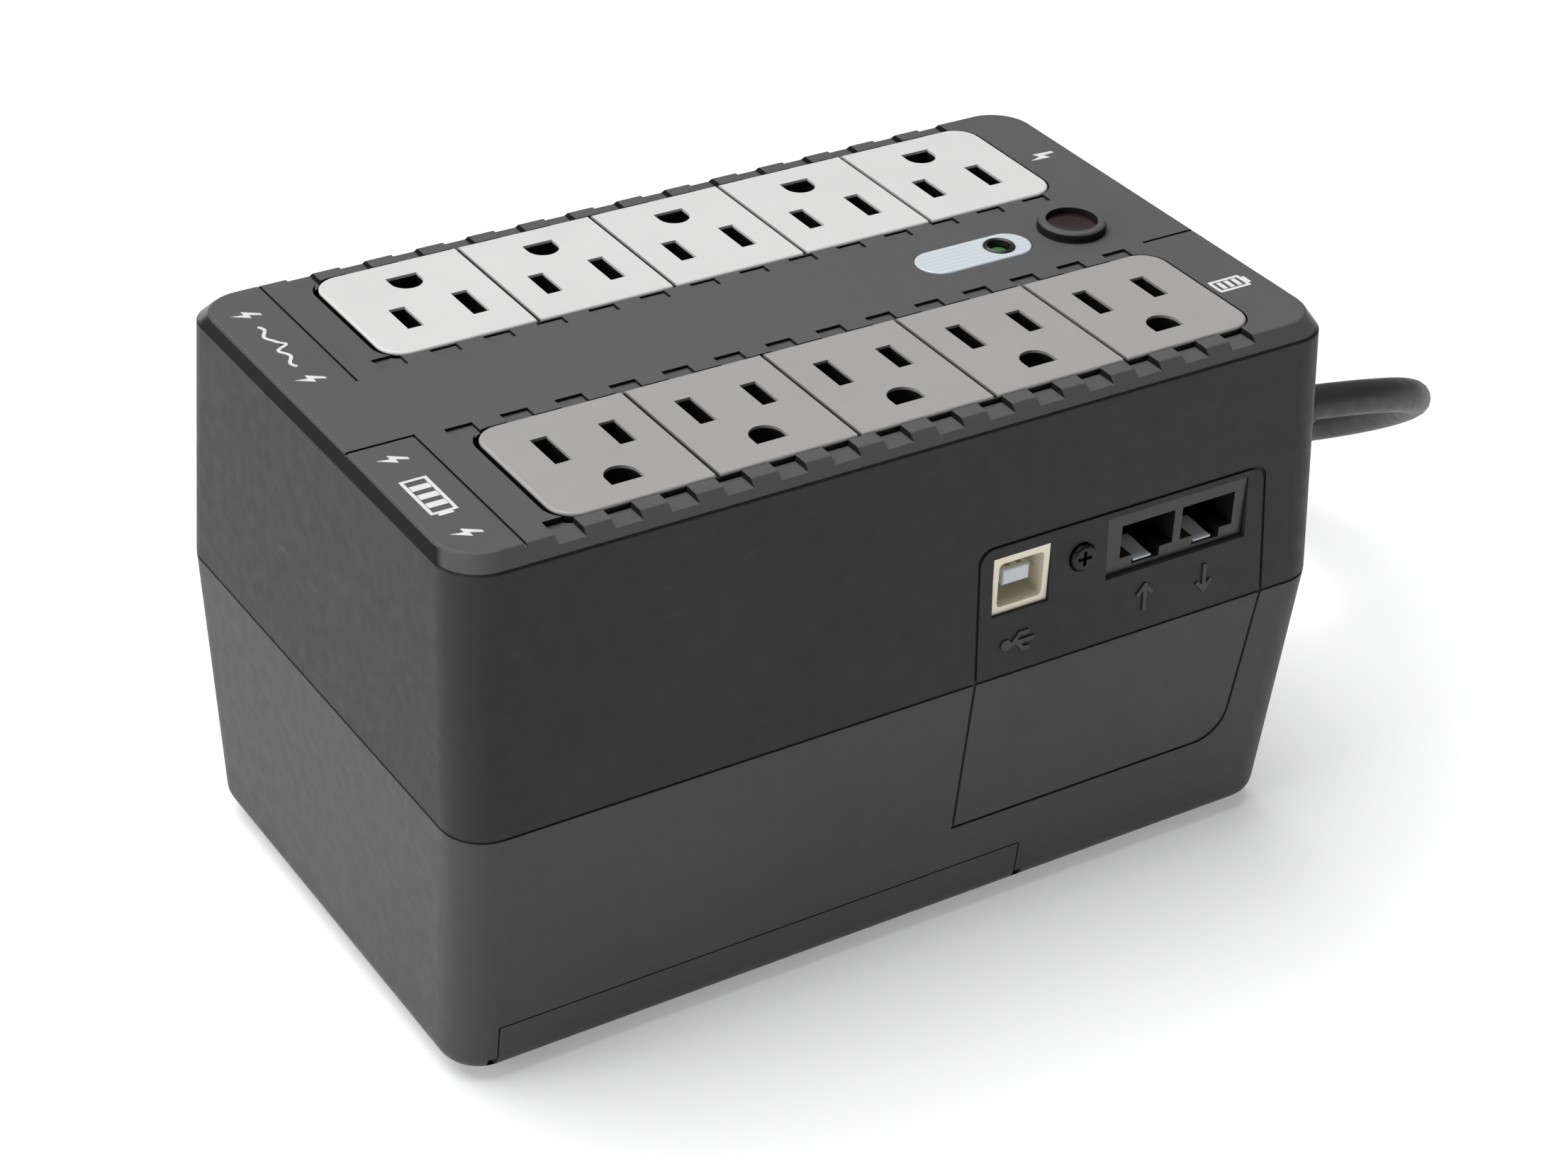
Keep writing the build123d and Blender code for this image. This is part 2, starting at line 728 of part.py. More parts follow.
with BuildPart() as line_choke:
    with BuildSketch(Plane.XY.offset(board_top)):
        with Locations(choke_place):
            Circle(choke_radii[0])
            Circle(choke_radii[1], mode=Mode.SUBTRACT)
    extrude(amount=choke_height)
    fillet(line_choke.edges().filter_by(GeomType.CIRCLE), 1.6)
write(line_choke.part, "line_choke")

with BuildPart() as surge_varistors:
    for x in varistor_xs:
        with BuildSketch(Plane.YZ.offset(x)):
            with Locations((varistor_y, board_top + varistor_radius)):
                Circle(varistor_radius)
        extrude(amount=varistor_thickness)
write(surge_varistors.part, "surge_varistors")

with BuildPart() as buzzer:
    with BuildSketch(Plane.XY.offset(board_top)):
        with Locations(buzzer_place):
            Circle(buzzer_radius)
            Circle(1.0, mode=Mode.SUBTRACT)
    extrude(amount=buzzer_height)
write(buzzer.part, "buzzer")

with BuildPart() as fuse_clips:
    with BuildSketch(Plane.XY.offset(board_top)):
        with Locations(*[(x, fuse_y) for x in fuse_clip_xs]):
            Rectangle(4.0, 8.0)
    extrude(amount=6.5)
    with BuildSketch(Plane.YZ.offset(fuse_start_x - 1)):
        with Locations((fuse_y, board_top + fuse_rise)):
            Circle(fuse_radius + 0.1)
        with Locations((fuse_y, board_top + fuse_rise + 2.0)):
            Rectangle(4.2, 4.0)
    extrude(amount=fuse_length + 2, mode=Mode.SUBTRACT)
write(fuse_clips.part, "fuse_clips")

with BuildPart() as fuse:
    with BuildSketch(Plane.YZ.offset(fuse_start_x)):
        with Locations((fuse_y, board_top + fuse_rise)):
            Circle(fuse_radius)
    extrude(amount=fuse_length)
write(fuse.part, "fuse")

# ---- Transformer ---------------------------------------------------------
core_x, core_y, core_z = core_size
core_top = core_base_z + core_z
core_middle_z = core_base_z + core_z / 2
window = ((core_y - 4 * 11) / 2, core_z - 22)
bracket_top_z = bracket_base_z + 1.4
with BuildPart() as transformer_core:
    with BuildSketch(Plane.YZ.offset(transformer_x - core_x / 2)):
        with Locations((0, core_middle_z)):
            Rectangle(core_y, core_z)
        with Locations((-16.5, core_middle_z), (16.5, core_middle_z)):
            Rectangle(*window, mode=Mode.SUBTRACT)
    extrude(amount=core_x)
write(transformer_core.part, "transformer_core")

with BuildPart() as transformer_winding:
    with BuildSketch(Plane.XY.offset(core_middle_z - 15.5)):
        with Locations((transformer_x, 0)):
            RectangleRounded(*winding_size[:2], 5)
            Rectangle(core_x + 0.4, 22.4, mode=Mode.SUBTRACT)
    extrude(amount=winding_size[2])
write(transformer_winding.part, "transformer_winding")

with BuildPart() as transformer_bracket:
    with BuildSketch(Plane.YZ.offset(transformer_x - 9)):
        with BuildLine():
            Polyline(
                (-46.4, bracket_base_z), (-33.2, bracket_base_z),
                (-33.2, core_top + 0.2), (33.2, core_top + 0.2),
                (33.2, bracket_base_z), (46.4, bracket_base_z),
                (46.4, bracket_top_z), (34.6, bracket_top_z),
                (34.6, core_top + 1.6), (-34.6, core_top + 1.6),
                (-34.6, bracket_top_z), (-46.4, bracket_top_z),
                close=True,
            )
        make_face()
    extrude(amount=18)
    with BuildSketch(Plane.XY):
        with Locations(*transformer_screws):
            Circle(1.7)
    extrude(amount=20, mode=Mode.SUBTRACT)
write(transformer_bracket.part, "transformer_bracket")

with BuildPart() as bracket_screws:
    with BuildSketch(Plane.XY.offset(bracket_top_z)):
        with Locations(*transformer_screws):
            Circle(3.0)
    extrude(amount=2.0)
    with BuildSketch(Plane.XY.offset(bracket_top_z - 2.8)):
        with Locations(*transformer_screws):
            Circle(1.5)
    extrude(amount=2.8)
write(bracket_screws.part, "bracket_screws")

# ---- Battery, its tabs, pads and leads ------------------------------------------
battery_end_x = battery_x + battery_size[0] / 2
battery_top_z = battery_bottom_z + battery_size[2]
tab_z = battery_top_z - 9
with BuildPart() as battery:
    with BuildSketch(Plane.YZ.offset(battery_end_x - battery_size[0])):
        with Locations((battery_y, battery_bottom_z + battery_size[2] / 2)):
            RectangleRounded(battery_size[1], battery_size[2], 2)
    extrude(amount=battery_size[0])
    with BuildSketch(Plane.YZ.offset(battery_end_x - 7)):
        with Locations((battery_y, battery_bottom_z + battery_size[2] / 2)):
            Rectangle(battery_size[1] + 1, battery_size[2] + 1)
            RectangleRounded(battery_size[1] - 1.2, battery_size[2] - 1.2, 2, mode=Mode.SUBTRACT)
    extrude(amount=0.8, mode=Mode.SUBTRACT)
write(battery.part, "battery")

with BuildPart() as battery_tabs:
    with BuildSketch(Plane.YZ.offset(battery_end_x)):
        with Locations((-32, tab_z), (32, tab_z)):
            Rectangle(6.3, 0.8)
    extrude(amount=5.6)
write(battery_tabs.part, "battery_tabs")

with BuildPart() as battery_pads:
    with BuildSketch(Plane.XY.offset(base_z + door_thickness + 0.1)):
        with Locations((-62, 0), (2, 0)):
            Rectangle(16, 78)
    extrude(amount=battery_bottom_z - base_z - door_thickness - 0.2)
write(battery_pads.part, "battery_pads")

for name, lead_y in (("battery_lead_red", 32), ("battery_lead_black", -32)):
    with BuildPart() as lead:
        with BuildSketch(Plane.YZ.offset(battery_end_x + 0.4)):
            with Locations((lead_y, tab_z)):
                Rectangle(8.0, 4.0)
                Rectangle(6.5, 1.0, mode=Mode.SUBTRACT)
        extrude(amount=6.0)
        with BuildSketch(Plane.XY.offset(tab_z + 2.0)):
            with Locations((battery_end_x + 3.4, lead_y * 0.97)):
                Circle(1.5)
        extrude(amount=board_z - tab_z - 2.0)
    write(lead.part, name)

# ---- Data ports ----------------------------------------------------------
with BuildPart() as interface_board:
    with BuildSketch(Plane.XY.offset(port_board_z)):
        with Locations((17, -48.4)):
            Rectangle(10, 7.4)
        with Locations((48, -44.6)):
            Rectangle(52, 15)
    extrude(amount=1.6)
write(interface_board.part, "interface_board")

with BuildPart() as usb_shell:
    with BuildSketch(Plane.XZ.offset(usb_back_y)):
        with Locations(usb_centre):
            Rectangle(*usb_size)
            RectangleRounded(usb_size[0] - 2.4, usb_size[1] - 2.6, 1.0, mode=Mode.SUBTRACT)
    extrude(amount=-port_face_y + 0.7 - usb_back_y)
    with BuildSketch(Plane.XZ.offset(usb_back_y - 0.8)):
        with Locations(usb_centre):
            Rectangle(*usb_size)
    extrude(amount=0.8)
write(usb_shell.part, "usb_shell")

with BuildPart() as usb_tongue:
    with BuildSketch(Plane.XZ.offset(usb_back_y)):
        with Locations((usb_centre[0], usb_centre[1] + 0.4)):
            Rectangle(5.7, 3.2)
    extrude(amount=-port_face_y - usb_back_y - 0.6)
    fillet(usb_tongue.faces().sort_by(Axis.Y)[0].edges(), 0.4)
write(usb_tongue.part, "usb_tongue")

jack_mid_x = (jack_frame[0] + jack_frame[1]) / 2
jack_mid_z = (jack_frame[2] + jack_frame[3]) / 2
with BuildPart() as jack_housing:
    with BuildSketch(Plane.XZ.offset(38.6)):
        with Locations((jack_mid_x, jack_mid_z)):
            Rectangle(jack_frame[1] - jack_frame[0], jack_frame[3] - jack_frame[2])
    extrude(amount=-port_face_y - 38.6 + 0.4)
    with BuildSketch(Plane.XZ.offset(40.2)):
        for x in jack_centres_x:
            with Locations((x, jack_mouth_z)):
                Rectangle(*jack_mouth)
            with Locations((x, jack_mouth_z - jack_mouth[1] / 2 - jack_notch[1] / 2 + 0.1)):
                Rectangle(jack_notch[0], jack_notch[1])
    extrude(amount=20, mode=Mode.SUBTRACT)
write(jack_housing.part, "jack_housing")

with BuildPart() as jack_contacts:
    for x in jack_centres_x:
        for index in range(4):
            wire_x = x + (index - 1.5) * 1.27
            with BuildSketch(Plane.YZ.offset(wire_x - 0.2)):
                with BuildLine():
                    Polyline(
                        (-40.3, 78.2), (-40.3, 77.4), (-47.5, 75.6), (-50.3, 77.9),
                        (-50.3, 78.5), (-47.4, 76.2), (-41.0, 78.2), close=True,
                    )
                make_face()
            extrude(amount=0.4)
write(jack_contacts.part, "jack_contacts")

screw_seat_y = -face_y(screw_centre[1]) - 0.7
with BuildPart() as interface_screw:
    with BuildSketch(Plane.XZ.offset(screw_seat_y)):
        with Locations(screw_centre):
            Circle(2.6)
    extrude(amount=1.6)
    fillet(interface_screw.faces().sort_by(Axis.Y)[0].edges(), 0.7)
    with BuildSketch(Plane.XZ.offset(screw_seat_y + 0.7)):
        with Locations(screw_centre):
            Rectangle(3.0, 0.7)
            Rectangle(0.7, 3.0)
    extrude(amount=2, mode=Mode.SUBTRACT)
    with BuildSketch(Plane.XZ.offset(screw_seat_y - 10)):
        with Locations(screw_centre):
            Circle(1.45)
    extrude(amount=10)
write(interface_screw.part, "interface_screw")

# ---- Resettable breaker in the +X end ----------------------------------------
bush_radius = 4.6
with BuildPart() as breaker_body:
    with BuildSketch(Plane.YZ.offset(well_floor_x - wall - 11.1)):
        with Locations((breaker_y, breaker_z - 3)):
            Rectangle(13, 20)
    extrude(amount=10.8)
    with BuildSketch(Plane.YZ.offset(well_floor_x - wall - 0.5)):
        with Locations((breaker_y, breaker_z)):
            Circle(bush_radius)
    extrude(amount=wall + 2.9)
    with BuildSketch(Plane.YZ.offset(well_floor_x - 8.5)):
        with Locations((breaker_y, breaker_z)):
            Circle(3.3)
    extrude(amount=15, mode=Mode.SUBTRACT)
write(breaker_body.part, "breaker_body")

with BuildPart() as breaker_nut:
    with BuildSketch(Plane.YZ.offset(well_floor_x)):
        with Locations((breaker_y, breaker_z)):
            RegularPolygon(6.6, 6)
            Circle(bush_radius, mode=Mode.SUBTRACT)
    extrude(amount=2.0)
write(breaker_nut.part, "breaker_nut")

with BuildPart() as breaker_button:
    with BuildSketch(Plane.YZ.offset(well_floor_x - 8.2)):
        with Locations((breaker_y, breaker_z)):
            Circle(3.0)
    extrude(amount=breaker_well_depth + 8.2)
    fillet(breaker_button.faces().sort_by(Axis.X)[-1].edges(), 0.8)
write(breaker_button.part, "breaker_button")

# ---- Cord: strain relief, free lead, coil, tail and plug ----------------------
cord_face_x = end_x(cord_exit_z)
relief_tip_x = cord_face_x + relief_length
exit_plane = Plane(origin=(cord_face_x, cord_exit_y, cord_exit_z), x_dir=(1, 0, 0), z_dir=(0, 0, 1))
with BuildPart() as strain_relief:
    # Tapered sleeve with a flange outside and a barb inside the wall.
    with BuildSketch(exit_plane):
        with BuildLine():
            Polyline(
                (-7, 0), (-7, 5.4), (-3.2, 5.4), (-3.2, 4.5), (0.5, 4.5), (0.5, 6.2),
                (3.0, 6.2), (relief_length, 4.4), (relief_length, 0), close=True,
            )
        make_face()
        for index in range(5):
            with Locations((5.2 + index * 3.2, 6.4 - index * 0.34)):
                Rectangle(1.2, 2.2, mode=Mode.SUBTRACT)
    revolve(axis=Axis(exit_plane.origin, (1, 0, 0)))
write(strain_relief.part, "strain_relief")

# The free lead, from the relief's tip down to the surface and round behind the housing.
entry_angle = math.radians(52)
leave_angle = math.radians(108)
leave_radius = 38.2
coil_height = coil_layers * coil_layer_height
low_turn_z = coil_base_z + cord_diameter / 2
top_turn_z = coil_base_z + coil_height - cord_diameter / 2
entry_x = coil_centre[0] + coil_turn_radii[1] * math.cos(entry_angle)
entry_y = coil_centre[1] + coil_turn_radii[1] * math.sin(entry_angle)
leave_x = coil_centre[0] + leave_radius * math.cos(leave_angle)
leave_y = coil_centre[1] + leave_radius * math.sin(leave_angle)
lead_points = [
    (relief_tip_x, cord_exit_y, cord_exit_z),
    (137.5, -21.5, 65.0),
    (157.0, -9.5, 52.0),
    (164.0, 14.0, 34.0),
    (159.0, 44.0, 16.0),
    (148.0, 74.0, 6.0),
    (133.0, 102.0, 3.6),
    (114.0, 128.0, 3.8),
    (entry_x, entry_y, low_turn_z),
]
tail_points = [
    (leave_x, leave_y, top_turn_z),
    (34.0, 145.0, 22.8),
    (13.9, 134.8, 15.8),
    (-0.8, 124.5, 12.2),
]


def corner_radii(points):
    """The largest comfortable arc at each inner point of a cord's route."""
    radii = []
    for before, here, after in zip(points, points[1:], points[2:]):
        first = Vector(*here) - Vector(*before)
        second = Vector(*after) - Vector(*here)
        half_turn = math.radians(first.get_angle(second)) / 2
        radii.append(0.45 * min(first.length, second.length) / math.tan(half_turn))
    return radii


for name, points in (("power_cord", lead_points), ("cord_tail", tail_points)):
    radii = corner_radii(points)
    with BuildPart() as cord:
        with BuildLine():
            route = FilletPolyline(*points, radius=radii)
        with BuildSketch(Plane(origin=route @ 0, z_dir=route % 0)):
            Circle(cord_diameter / 2)
        sweep()
    section = math.pi * cord_diameter ** 2 / 4
    print(name, "radii", [round(r, 1) for r in radii], "length", round(route.length, 1))
    print(name, "volume over section times length", round(cord.part.volume / section / route.length, 4))
    write(cord.part, name)

with BuildPart() as cord_coil:
    with BuildSketch(Plane.XY.offset(coil_base_z)):
        with Locations(coil_centre):
            Circle(coil_turn_radii[1] + cord_diameter / 2)
            Circle(coil_turn_radii[0] - cord_diameter / 2, mode=Mode.SUBTRACT)
    extrude(amount=coil_height)
    fillet(cord_coil.edges().filter_by(GeomType.CIRCLE), 3.0)
write(cord_coil.part, "cord_coil")

# Tie round the far side of the coil.
turn_span = coil_turn_radii[1] - coil_turn_radii[0] + cord_diameter
tie_y = coil_centre[1] + (coil_turn_radii[0] + coil_turn_radii[1]) / 2
tie_z = coil_base_z + coil_height / 2
with BuildPart() as cord_tie:
    with BuildSketch(Plane.YZ.offset(coil_centre[0] - tie_width / 2)):
        with Locations((tie_y, tie_z)):
            RectangleRounded(turn_span + 1.8, coil_height + 2 * tie_thickness, 3.2)
            RectangleRounded(turn_span + 0.6, coil_height, 2.8, mode=Mode.SUBTRACT)
    extrude(amount=tie_width)
write(cord_tie.part, "cord_tie")

plug_start = Vector(*tail_points[-1])
plug_heading = (plug_start - Vector(*tail_points[-2])).normalized()
plug_heading = Vector(plug_heading.X, plug_heading.Y, 0).normalized()
plug_back = Plane(origin=plug_start, x_dir=Vector(0, 0, 1).cross(plug_heading), z_dir=plug_heading)
with BuildPart() as plug_body:
    with BuildSketch(plug_back):
        Circle(4.3)
    with BuildSketch(plug_back.offset(16)):
        RectangleRounded(14, 12, 5.5)
    loft(ruled=True)
    with BuildSketch(plug_back.offset(16)):
        RectangleRounded(19, 17, 5)
    with BuildSketch(plug_back.offset(16 + plug_length - 6)):
        RectangleRounded(26, 23, 5)
    loft(ruled=True)
    with BuildSketch(plug_back.offset(16 + plug_length - 6)):
        RectangleRounded(26, 23, 5)
    extrude(amount=6)
write(plug_body.part, "plug_body")

plug_face = plug_back.offset(16 + plug_length)
with BuildPart() as plug_blades:
    with BuildSketch(plug_face):
        with Locations((-half_spacing, -3.2), (half_spacing, -3.2)):
            Rectangle(1.5, 6.35)
    extrude(amount=15.9)
    with BuildSketch(plug_face):
        with Locations((0, 8.0)):
            Circle(2.4)
    extrude(amount=19)
write(plug_blades.part, "plug_blades")
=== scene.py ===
"""A compact standby power supply with ten outlets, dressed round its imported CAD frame, in metres."""
import json
import math

import bmesh
import bpy
from mathutils import Euler, Matrix, Vector


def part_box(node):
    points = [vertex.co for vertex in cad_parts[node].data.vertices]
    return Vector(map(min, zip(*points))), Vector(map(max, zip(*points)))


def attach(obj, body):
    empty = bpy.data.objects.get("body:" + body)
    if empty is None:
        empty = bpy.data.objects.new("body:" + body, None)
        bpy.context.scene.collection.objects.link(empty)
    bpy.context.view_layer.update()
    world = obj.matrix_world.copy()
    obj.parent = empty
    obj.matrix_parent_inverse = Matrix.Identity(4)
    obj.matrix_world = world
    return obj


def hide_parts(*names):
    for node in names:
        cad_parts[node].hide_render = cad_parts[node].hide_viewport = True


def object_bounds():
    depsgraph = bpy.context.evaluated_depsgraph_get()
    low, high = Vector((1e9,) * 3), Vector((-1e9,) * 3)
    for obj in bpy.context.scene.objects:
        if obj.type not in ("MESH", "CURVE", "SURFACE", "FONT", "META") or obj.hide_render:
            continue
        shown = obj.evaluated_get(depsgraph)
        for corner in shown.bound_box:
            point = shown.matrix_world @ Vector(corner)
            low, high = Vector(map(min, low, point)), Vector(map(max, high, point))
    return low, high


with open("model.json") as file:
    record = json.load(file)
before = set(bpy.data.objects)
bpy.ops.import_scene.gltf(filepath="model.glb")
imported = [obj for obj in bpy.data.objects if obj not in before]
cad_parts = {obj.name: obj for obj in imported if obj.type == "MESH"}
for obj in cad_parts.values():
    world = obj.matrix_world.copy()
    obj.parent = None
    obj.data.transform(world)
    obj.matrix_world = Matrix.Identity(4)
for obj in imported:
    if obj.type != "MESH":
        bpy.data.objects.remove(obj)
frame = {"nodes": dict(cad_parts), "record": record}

cad_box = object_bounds()
MM = 0.001
HOUSING = "housing"

# ---- Camera ----------------------------------------------------------------
camera_data = bpy.data.cameras.new("camera")
camera_data.lens = 79.33
camera = bpy.data.objects.new("camera", camera_data)
camera.location = (-0.2989, -0.4602, 0.3977)
camera.rotation_euler = Euler([math.radians(angle) for angle in (57.524, -2.233, -32.189)])
bpy.context.scene.collection.objects.link(camera)
bpy.context.scene.camera = camera

# ---- Cord: lead, coil and tail ----------------------------------------------
CORD_DIAMETER = 0.007
COIL_CENTRE = Vector((0.066, 0.116))
COIL_INNER = 0.0308
COIL_OUTER = 0.0416
COIL_FLOOR = 0.0042
COIL_LAYER = 0.0071
ENTRY_ANGLE = 52.0
SPIRAL_SPAN = 540.0
CLIMB_SPAN = 75.0
LEAVE_SPAN = 2216.0
POINTS_PER_TURN = 16
# A quadratic curve runs inside the polygon of its points by this share of the radius.
POLYGON_SHARE = math.cos(math.pi / POINTS_PER_TURN)

LEAD_POINTS = [
    (0.112385, -0.0220, 0.0693),
    (0.1375, -0.0215, 0.0650),
    (0.1570, -0.0095, 0.0520),
    (0.1640, 0.0140, 0.0340),
    (0.1590, 0.0440, 0.0160),
    (0.1480, 0.0740, 0.0060),
    (0.1330, 0.1020, 0.0036),
    (0.1140, 0.1280, 0.0038),
]
TAIL_POINTS = [
    (0.0340, 0.1450, 0.0228),
    (0.0139, 0.1348, 0.0158),
    (-0.0008, 0.1245, 0.0122),
]


def smooth(share):
    """A share from 0 to 1, eased at both ends."""
    share = min(max(share, 0.0), 1.0)
    return share * share * (3 - 2 * share)


def coil_place(turned):
    """Radius and height of the coil's cord after it has turned that many degrees.

    Each layer spirals in or out, and the cord climbs to the next layer at its inner or outer edge."""
    layer, along = divmod(turned, SPIRAL_SPAN + CLIMB_SPAN)
    share = min(along / SPIRAL_SPAN, 1.0)
    if layer % 2 == 1:
        share = 1.0 - share
    radius = COIL_OUTER + (COIL_INNER - COIL_OUTER) * share
    height = COIL_FLOOR + COIL_LAYER * (layer + smooth((along - SPIRAL_SPAN) / CLIMB_SPAN))
    return radius, height


def coil_points():
    """Control points of the coil's turns, counter-clockwise from the lead to the tail."""
    points = []
    step = 360.0 / POINTS_PER_TURN
    for index in range(int(LEAVE_SPAN / step) + 1):
        radius, height = coil_place(index * step)
        angle = math.radians(ENTRY_ANGLE + index * step)
        reach = radius / POLYGON_SHARE
        points.append((
            COIL_CENTRE.x + reach * math.cos(angle),
            COIL_CENTRE.y + reach * math.sin(angle),
            height,
        ))
    return points


def nurbs(name, points, thickness):
    """An open round cord on one NURBS spline, its thickness given by the points' own radius."""
    data = bpy.data.curves.new(name, "CURVE")
    data.dimensions = "3D"
    data.bevel_depth = 1.0
    data.bevel_resolution = 6
    data.resolution_u = 8
    data.use_fill_caps = True
    spline = data.splines.new("NURBS")
    spline.points.add(len(points) - 1)
    for point, place in zip(spline.points, points):
        point.co = (*place, 1.0)
        point.radius = thickness / 2
    spline.order_u = 3
    spline.use_endpoint_u = True
    made = bpy.data.objects.new(name, data)
    bpy.context.scene.collection.objects.link(made)
    return made


mains_cord = nurbs("mains_cord", LEAD_POINTS + coil_points() + TAIL_POINTS, CORD_DIAMETER)
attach(mains_cord, HOUSING)
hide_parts("power_cord", "cord_coil", "cord_tail")


# ---- Materials --------------------------------------------------------------
class Surface:
    """A material being built on one Principled shader, in the object's own coordinates."""

    def __init__(self, name, **settings):
        self.material = bpy.data.materials.new(name)
        self.material.use_nodes = True
        self.nodes = self.material.node_tree.nodes
        self.links = self.material.node_tree.links
        self.shader = self.nodes["Principled BSDF"]
        self.place = self.nodes.new("ShaderNodeTexCoord").outputs["Object"]
        for socket, value in settings.items():
            self.set(socket, value)

    def set(self, socket, value):
        """Set one of the shader's own sockets, named with underscores for spaces."""
        if socket == "Emission_Color":
            value = (*value, 1.0)
        self.shader.inputs[socket.replace("_", " ")].default_value = value

    def add(self, kind, *inputs, **settings):
        """A node with its inputs, in order: a number or colour is set, a socket is linked, None is left."""
        node = self.nodes.new(kind)
        for attribute, value in settings.items():
            setattr(node, attribute, value)
        for socket, value in zip(node.inputs, inputs):
            if isinstance(value, bpy.types.NodeSocket):
                self.links.new(value, socket)
            elif value is not None:
                socket.default_value = value
        return node

    def maths(self, operation, a, b=0.0):
        """One number worked out from two."""
        return self.add("ShaderNodeMath", a, b, operation=operation).outputs[0]

    def noise(self, scale, detail=2.0, stretch=(1, 1, 1)):
        """Noise from 0 to 1 with features of about 1/scale metres."""
        place = self.add("ShaderNodeMapping", self.place).outputs[0]
        place.node.inputs["Scale"].default_value = stretch
        node = self.add("ShaderNodeTexNoise")
        self.links.new(place, node.inputs["Vector"])
        node.inputs["Scale"].default_value = scale
        node.inputs["Detail"].default_value = detail
        return node.outputs["Fac"]

    def spread(self, fac, low, high, start=0.3, end=0.7):
        """A number that goes from low to high as fac goes from start to end."""
        node = self.add("ShaderNodeMapRange", fac)
        for socket, value in zip(("From Min", "From Max", "To Min", "To Max"), (start, end, low, high)):
            node.inputs[socket].default_value = value
        return node.outputs["Result"]

    def blend(self, fac, first, second):
        """A colour between two, each a colour or a socket."""
        node = self.add("ShaderNodeMix", data_type="RGBA")
        sockets = [node.inputs[0], node.inputs[6], node.inputs[7]]
        for socket, value in zip(sockets, (fac, first, second)):
            if isinstance(value, bpy.types.NodeSocket):
                self.links.new(value, socket)
            elif isinstance(value, tuple):
                socket.default_value = (*value, 1.0)
            else:
                socket.default_value = value
        return node.outputs[2]

    def colour(self, socket):
        self.links.new(socket, self.shader.inputs["Base Color"])

    def roughness(self, socket):
        self.links.new(socket, self.shader.inputs["Roughness"])

    def bump(self, *layers):
        """Stacked bumps, each a height from 0 to 1 and its depth in metres."""
        normal = None
        for height, depth in layers:
            node = self.add("ShaderNodeBump")
            node.inputs["Strength"].default_value = 1.0
            node.inputs["Distance"].default_value = depth
            self.links.new(height, node.inputs["Height"])
            if normal is not None:
                self.links.new(normal, node.inputs["Normal"])
            normal = node.outputs["Normal"]
        self.links.new(normal, self.shader.inputs["Normal"])


def shade(colour, factor):
    """A colour made lighter or darker."""
    return tuple(min(channel * factor, 1.0) for channel in colour)


def moulded(name, colour, low_rough, high_rough, grain=1800, depth=0.00001, mottle=0.05, **settings):
    """Moulded plastic or rubber: a fine spark-eroded grain, cloudy colour and uneven gloss."""
    made = Surface(name, **settings)
    cloud = made.noise(45, 4.0)
    made.colour(made.blend(made.spread(cloud, 0, 1), shade(colour, 1 - mottle), shade(colour, 1 + mottle)))
    made.roughness(made.spread(made.noise(320, 3.0), low_rough, high_rough))
    made.bump((made.noise(grain, 2.0), depth), (made.noise(90, 2.0), depth * 1.5))
    return made.material


def metal(name, colour, low_rough, high_rough, stretch=(1, 1, 1), scale=900, depth=0.000006):
    """Bare or plated metal with a drawn or rolled grain along the short side of the stretch."""
    made = Surface(name, Metallic=1.0)
    grain = made.noise(scale, 3.0, stretch)
    made.colour(made.blend(made.spread(made.noise(60, 3.0), 0, 1), shade(colour, 0.86), colour))
    made.roughness(made.spread(grain, low_rough, high_rough))
    made.bump((grain, depth))
    return made.material


BEVEL_DROP = 2.9 * MM
CASE_LIP = 3 * MM
TONE_EDGE = 0.1 * MM
CROWN_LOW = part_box("surge_outlet_plate")[1].z - BEVEL_DROP
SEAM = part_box("bottom_case")[1].z - CASE_LIP
# The cover's walls are darker than the case's walls: partly a two-tone plastic, partly painted shade and
# light standing in for the floor's bounce on the case.
COVER_COLOUR = (0.029, 0.029, 0.030)
CASE_COLOUR = (0.059, 0.059, 0.060)
# Painted light: the crown's level top is coloured paler, as if lit from overhead.
PAINTED_LIT_CROWN_COLOUR = (0.094, 0.094, 0.095)
# Painted light: the sloped long bevels are coloured paler where they face up.
PAINTED_LIT_SLOPE_COLOUR = (0.074, 0.074, 0.075)
# Painted shade: black for the steep faces above the crown's foot, such as notch walls, and a line along the
# bevels' foot.
PAINTED_SHADE_COLOUR = (0.009, 0.009, 0.010)


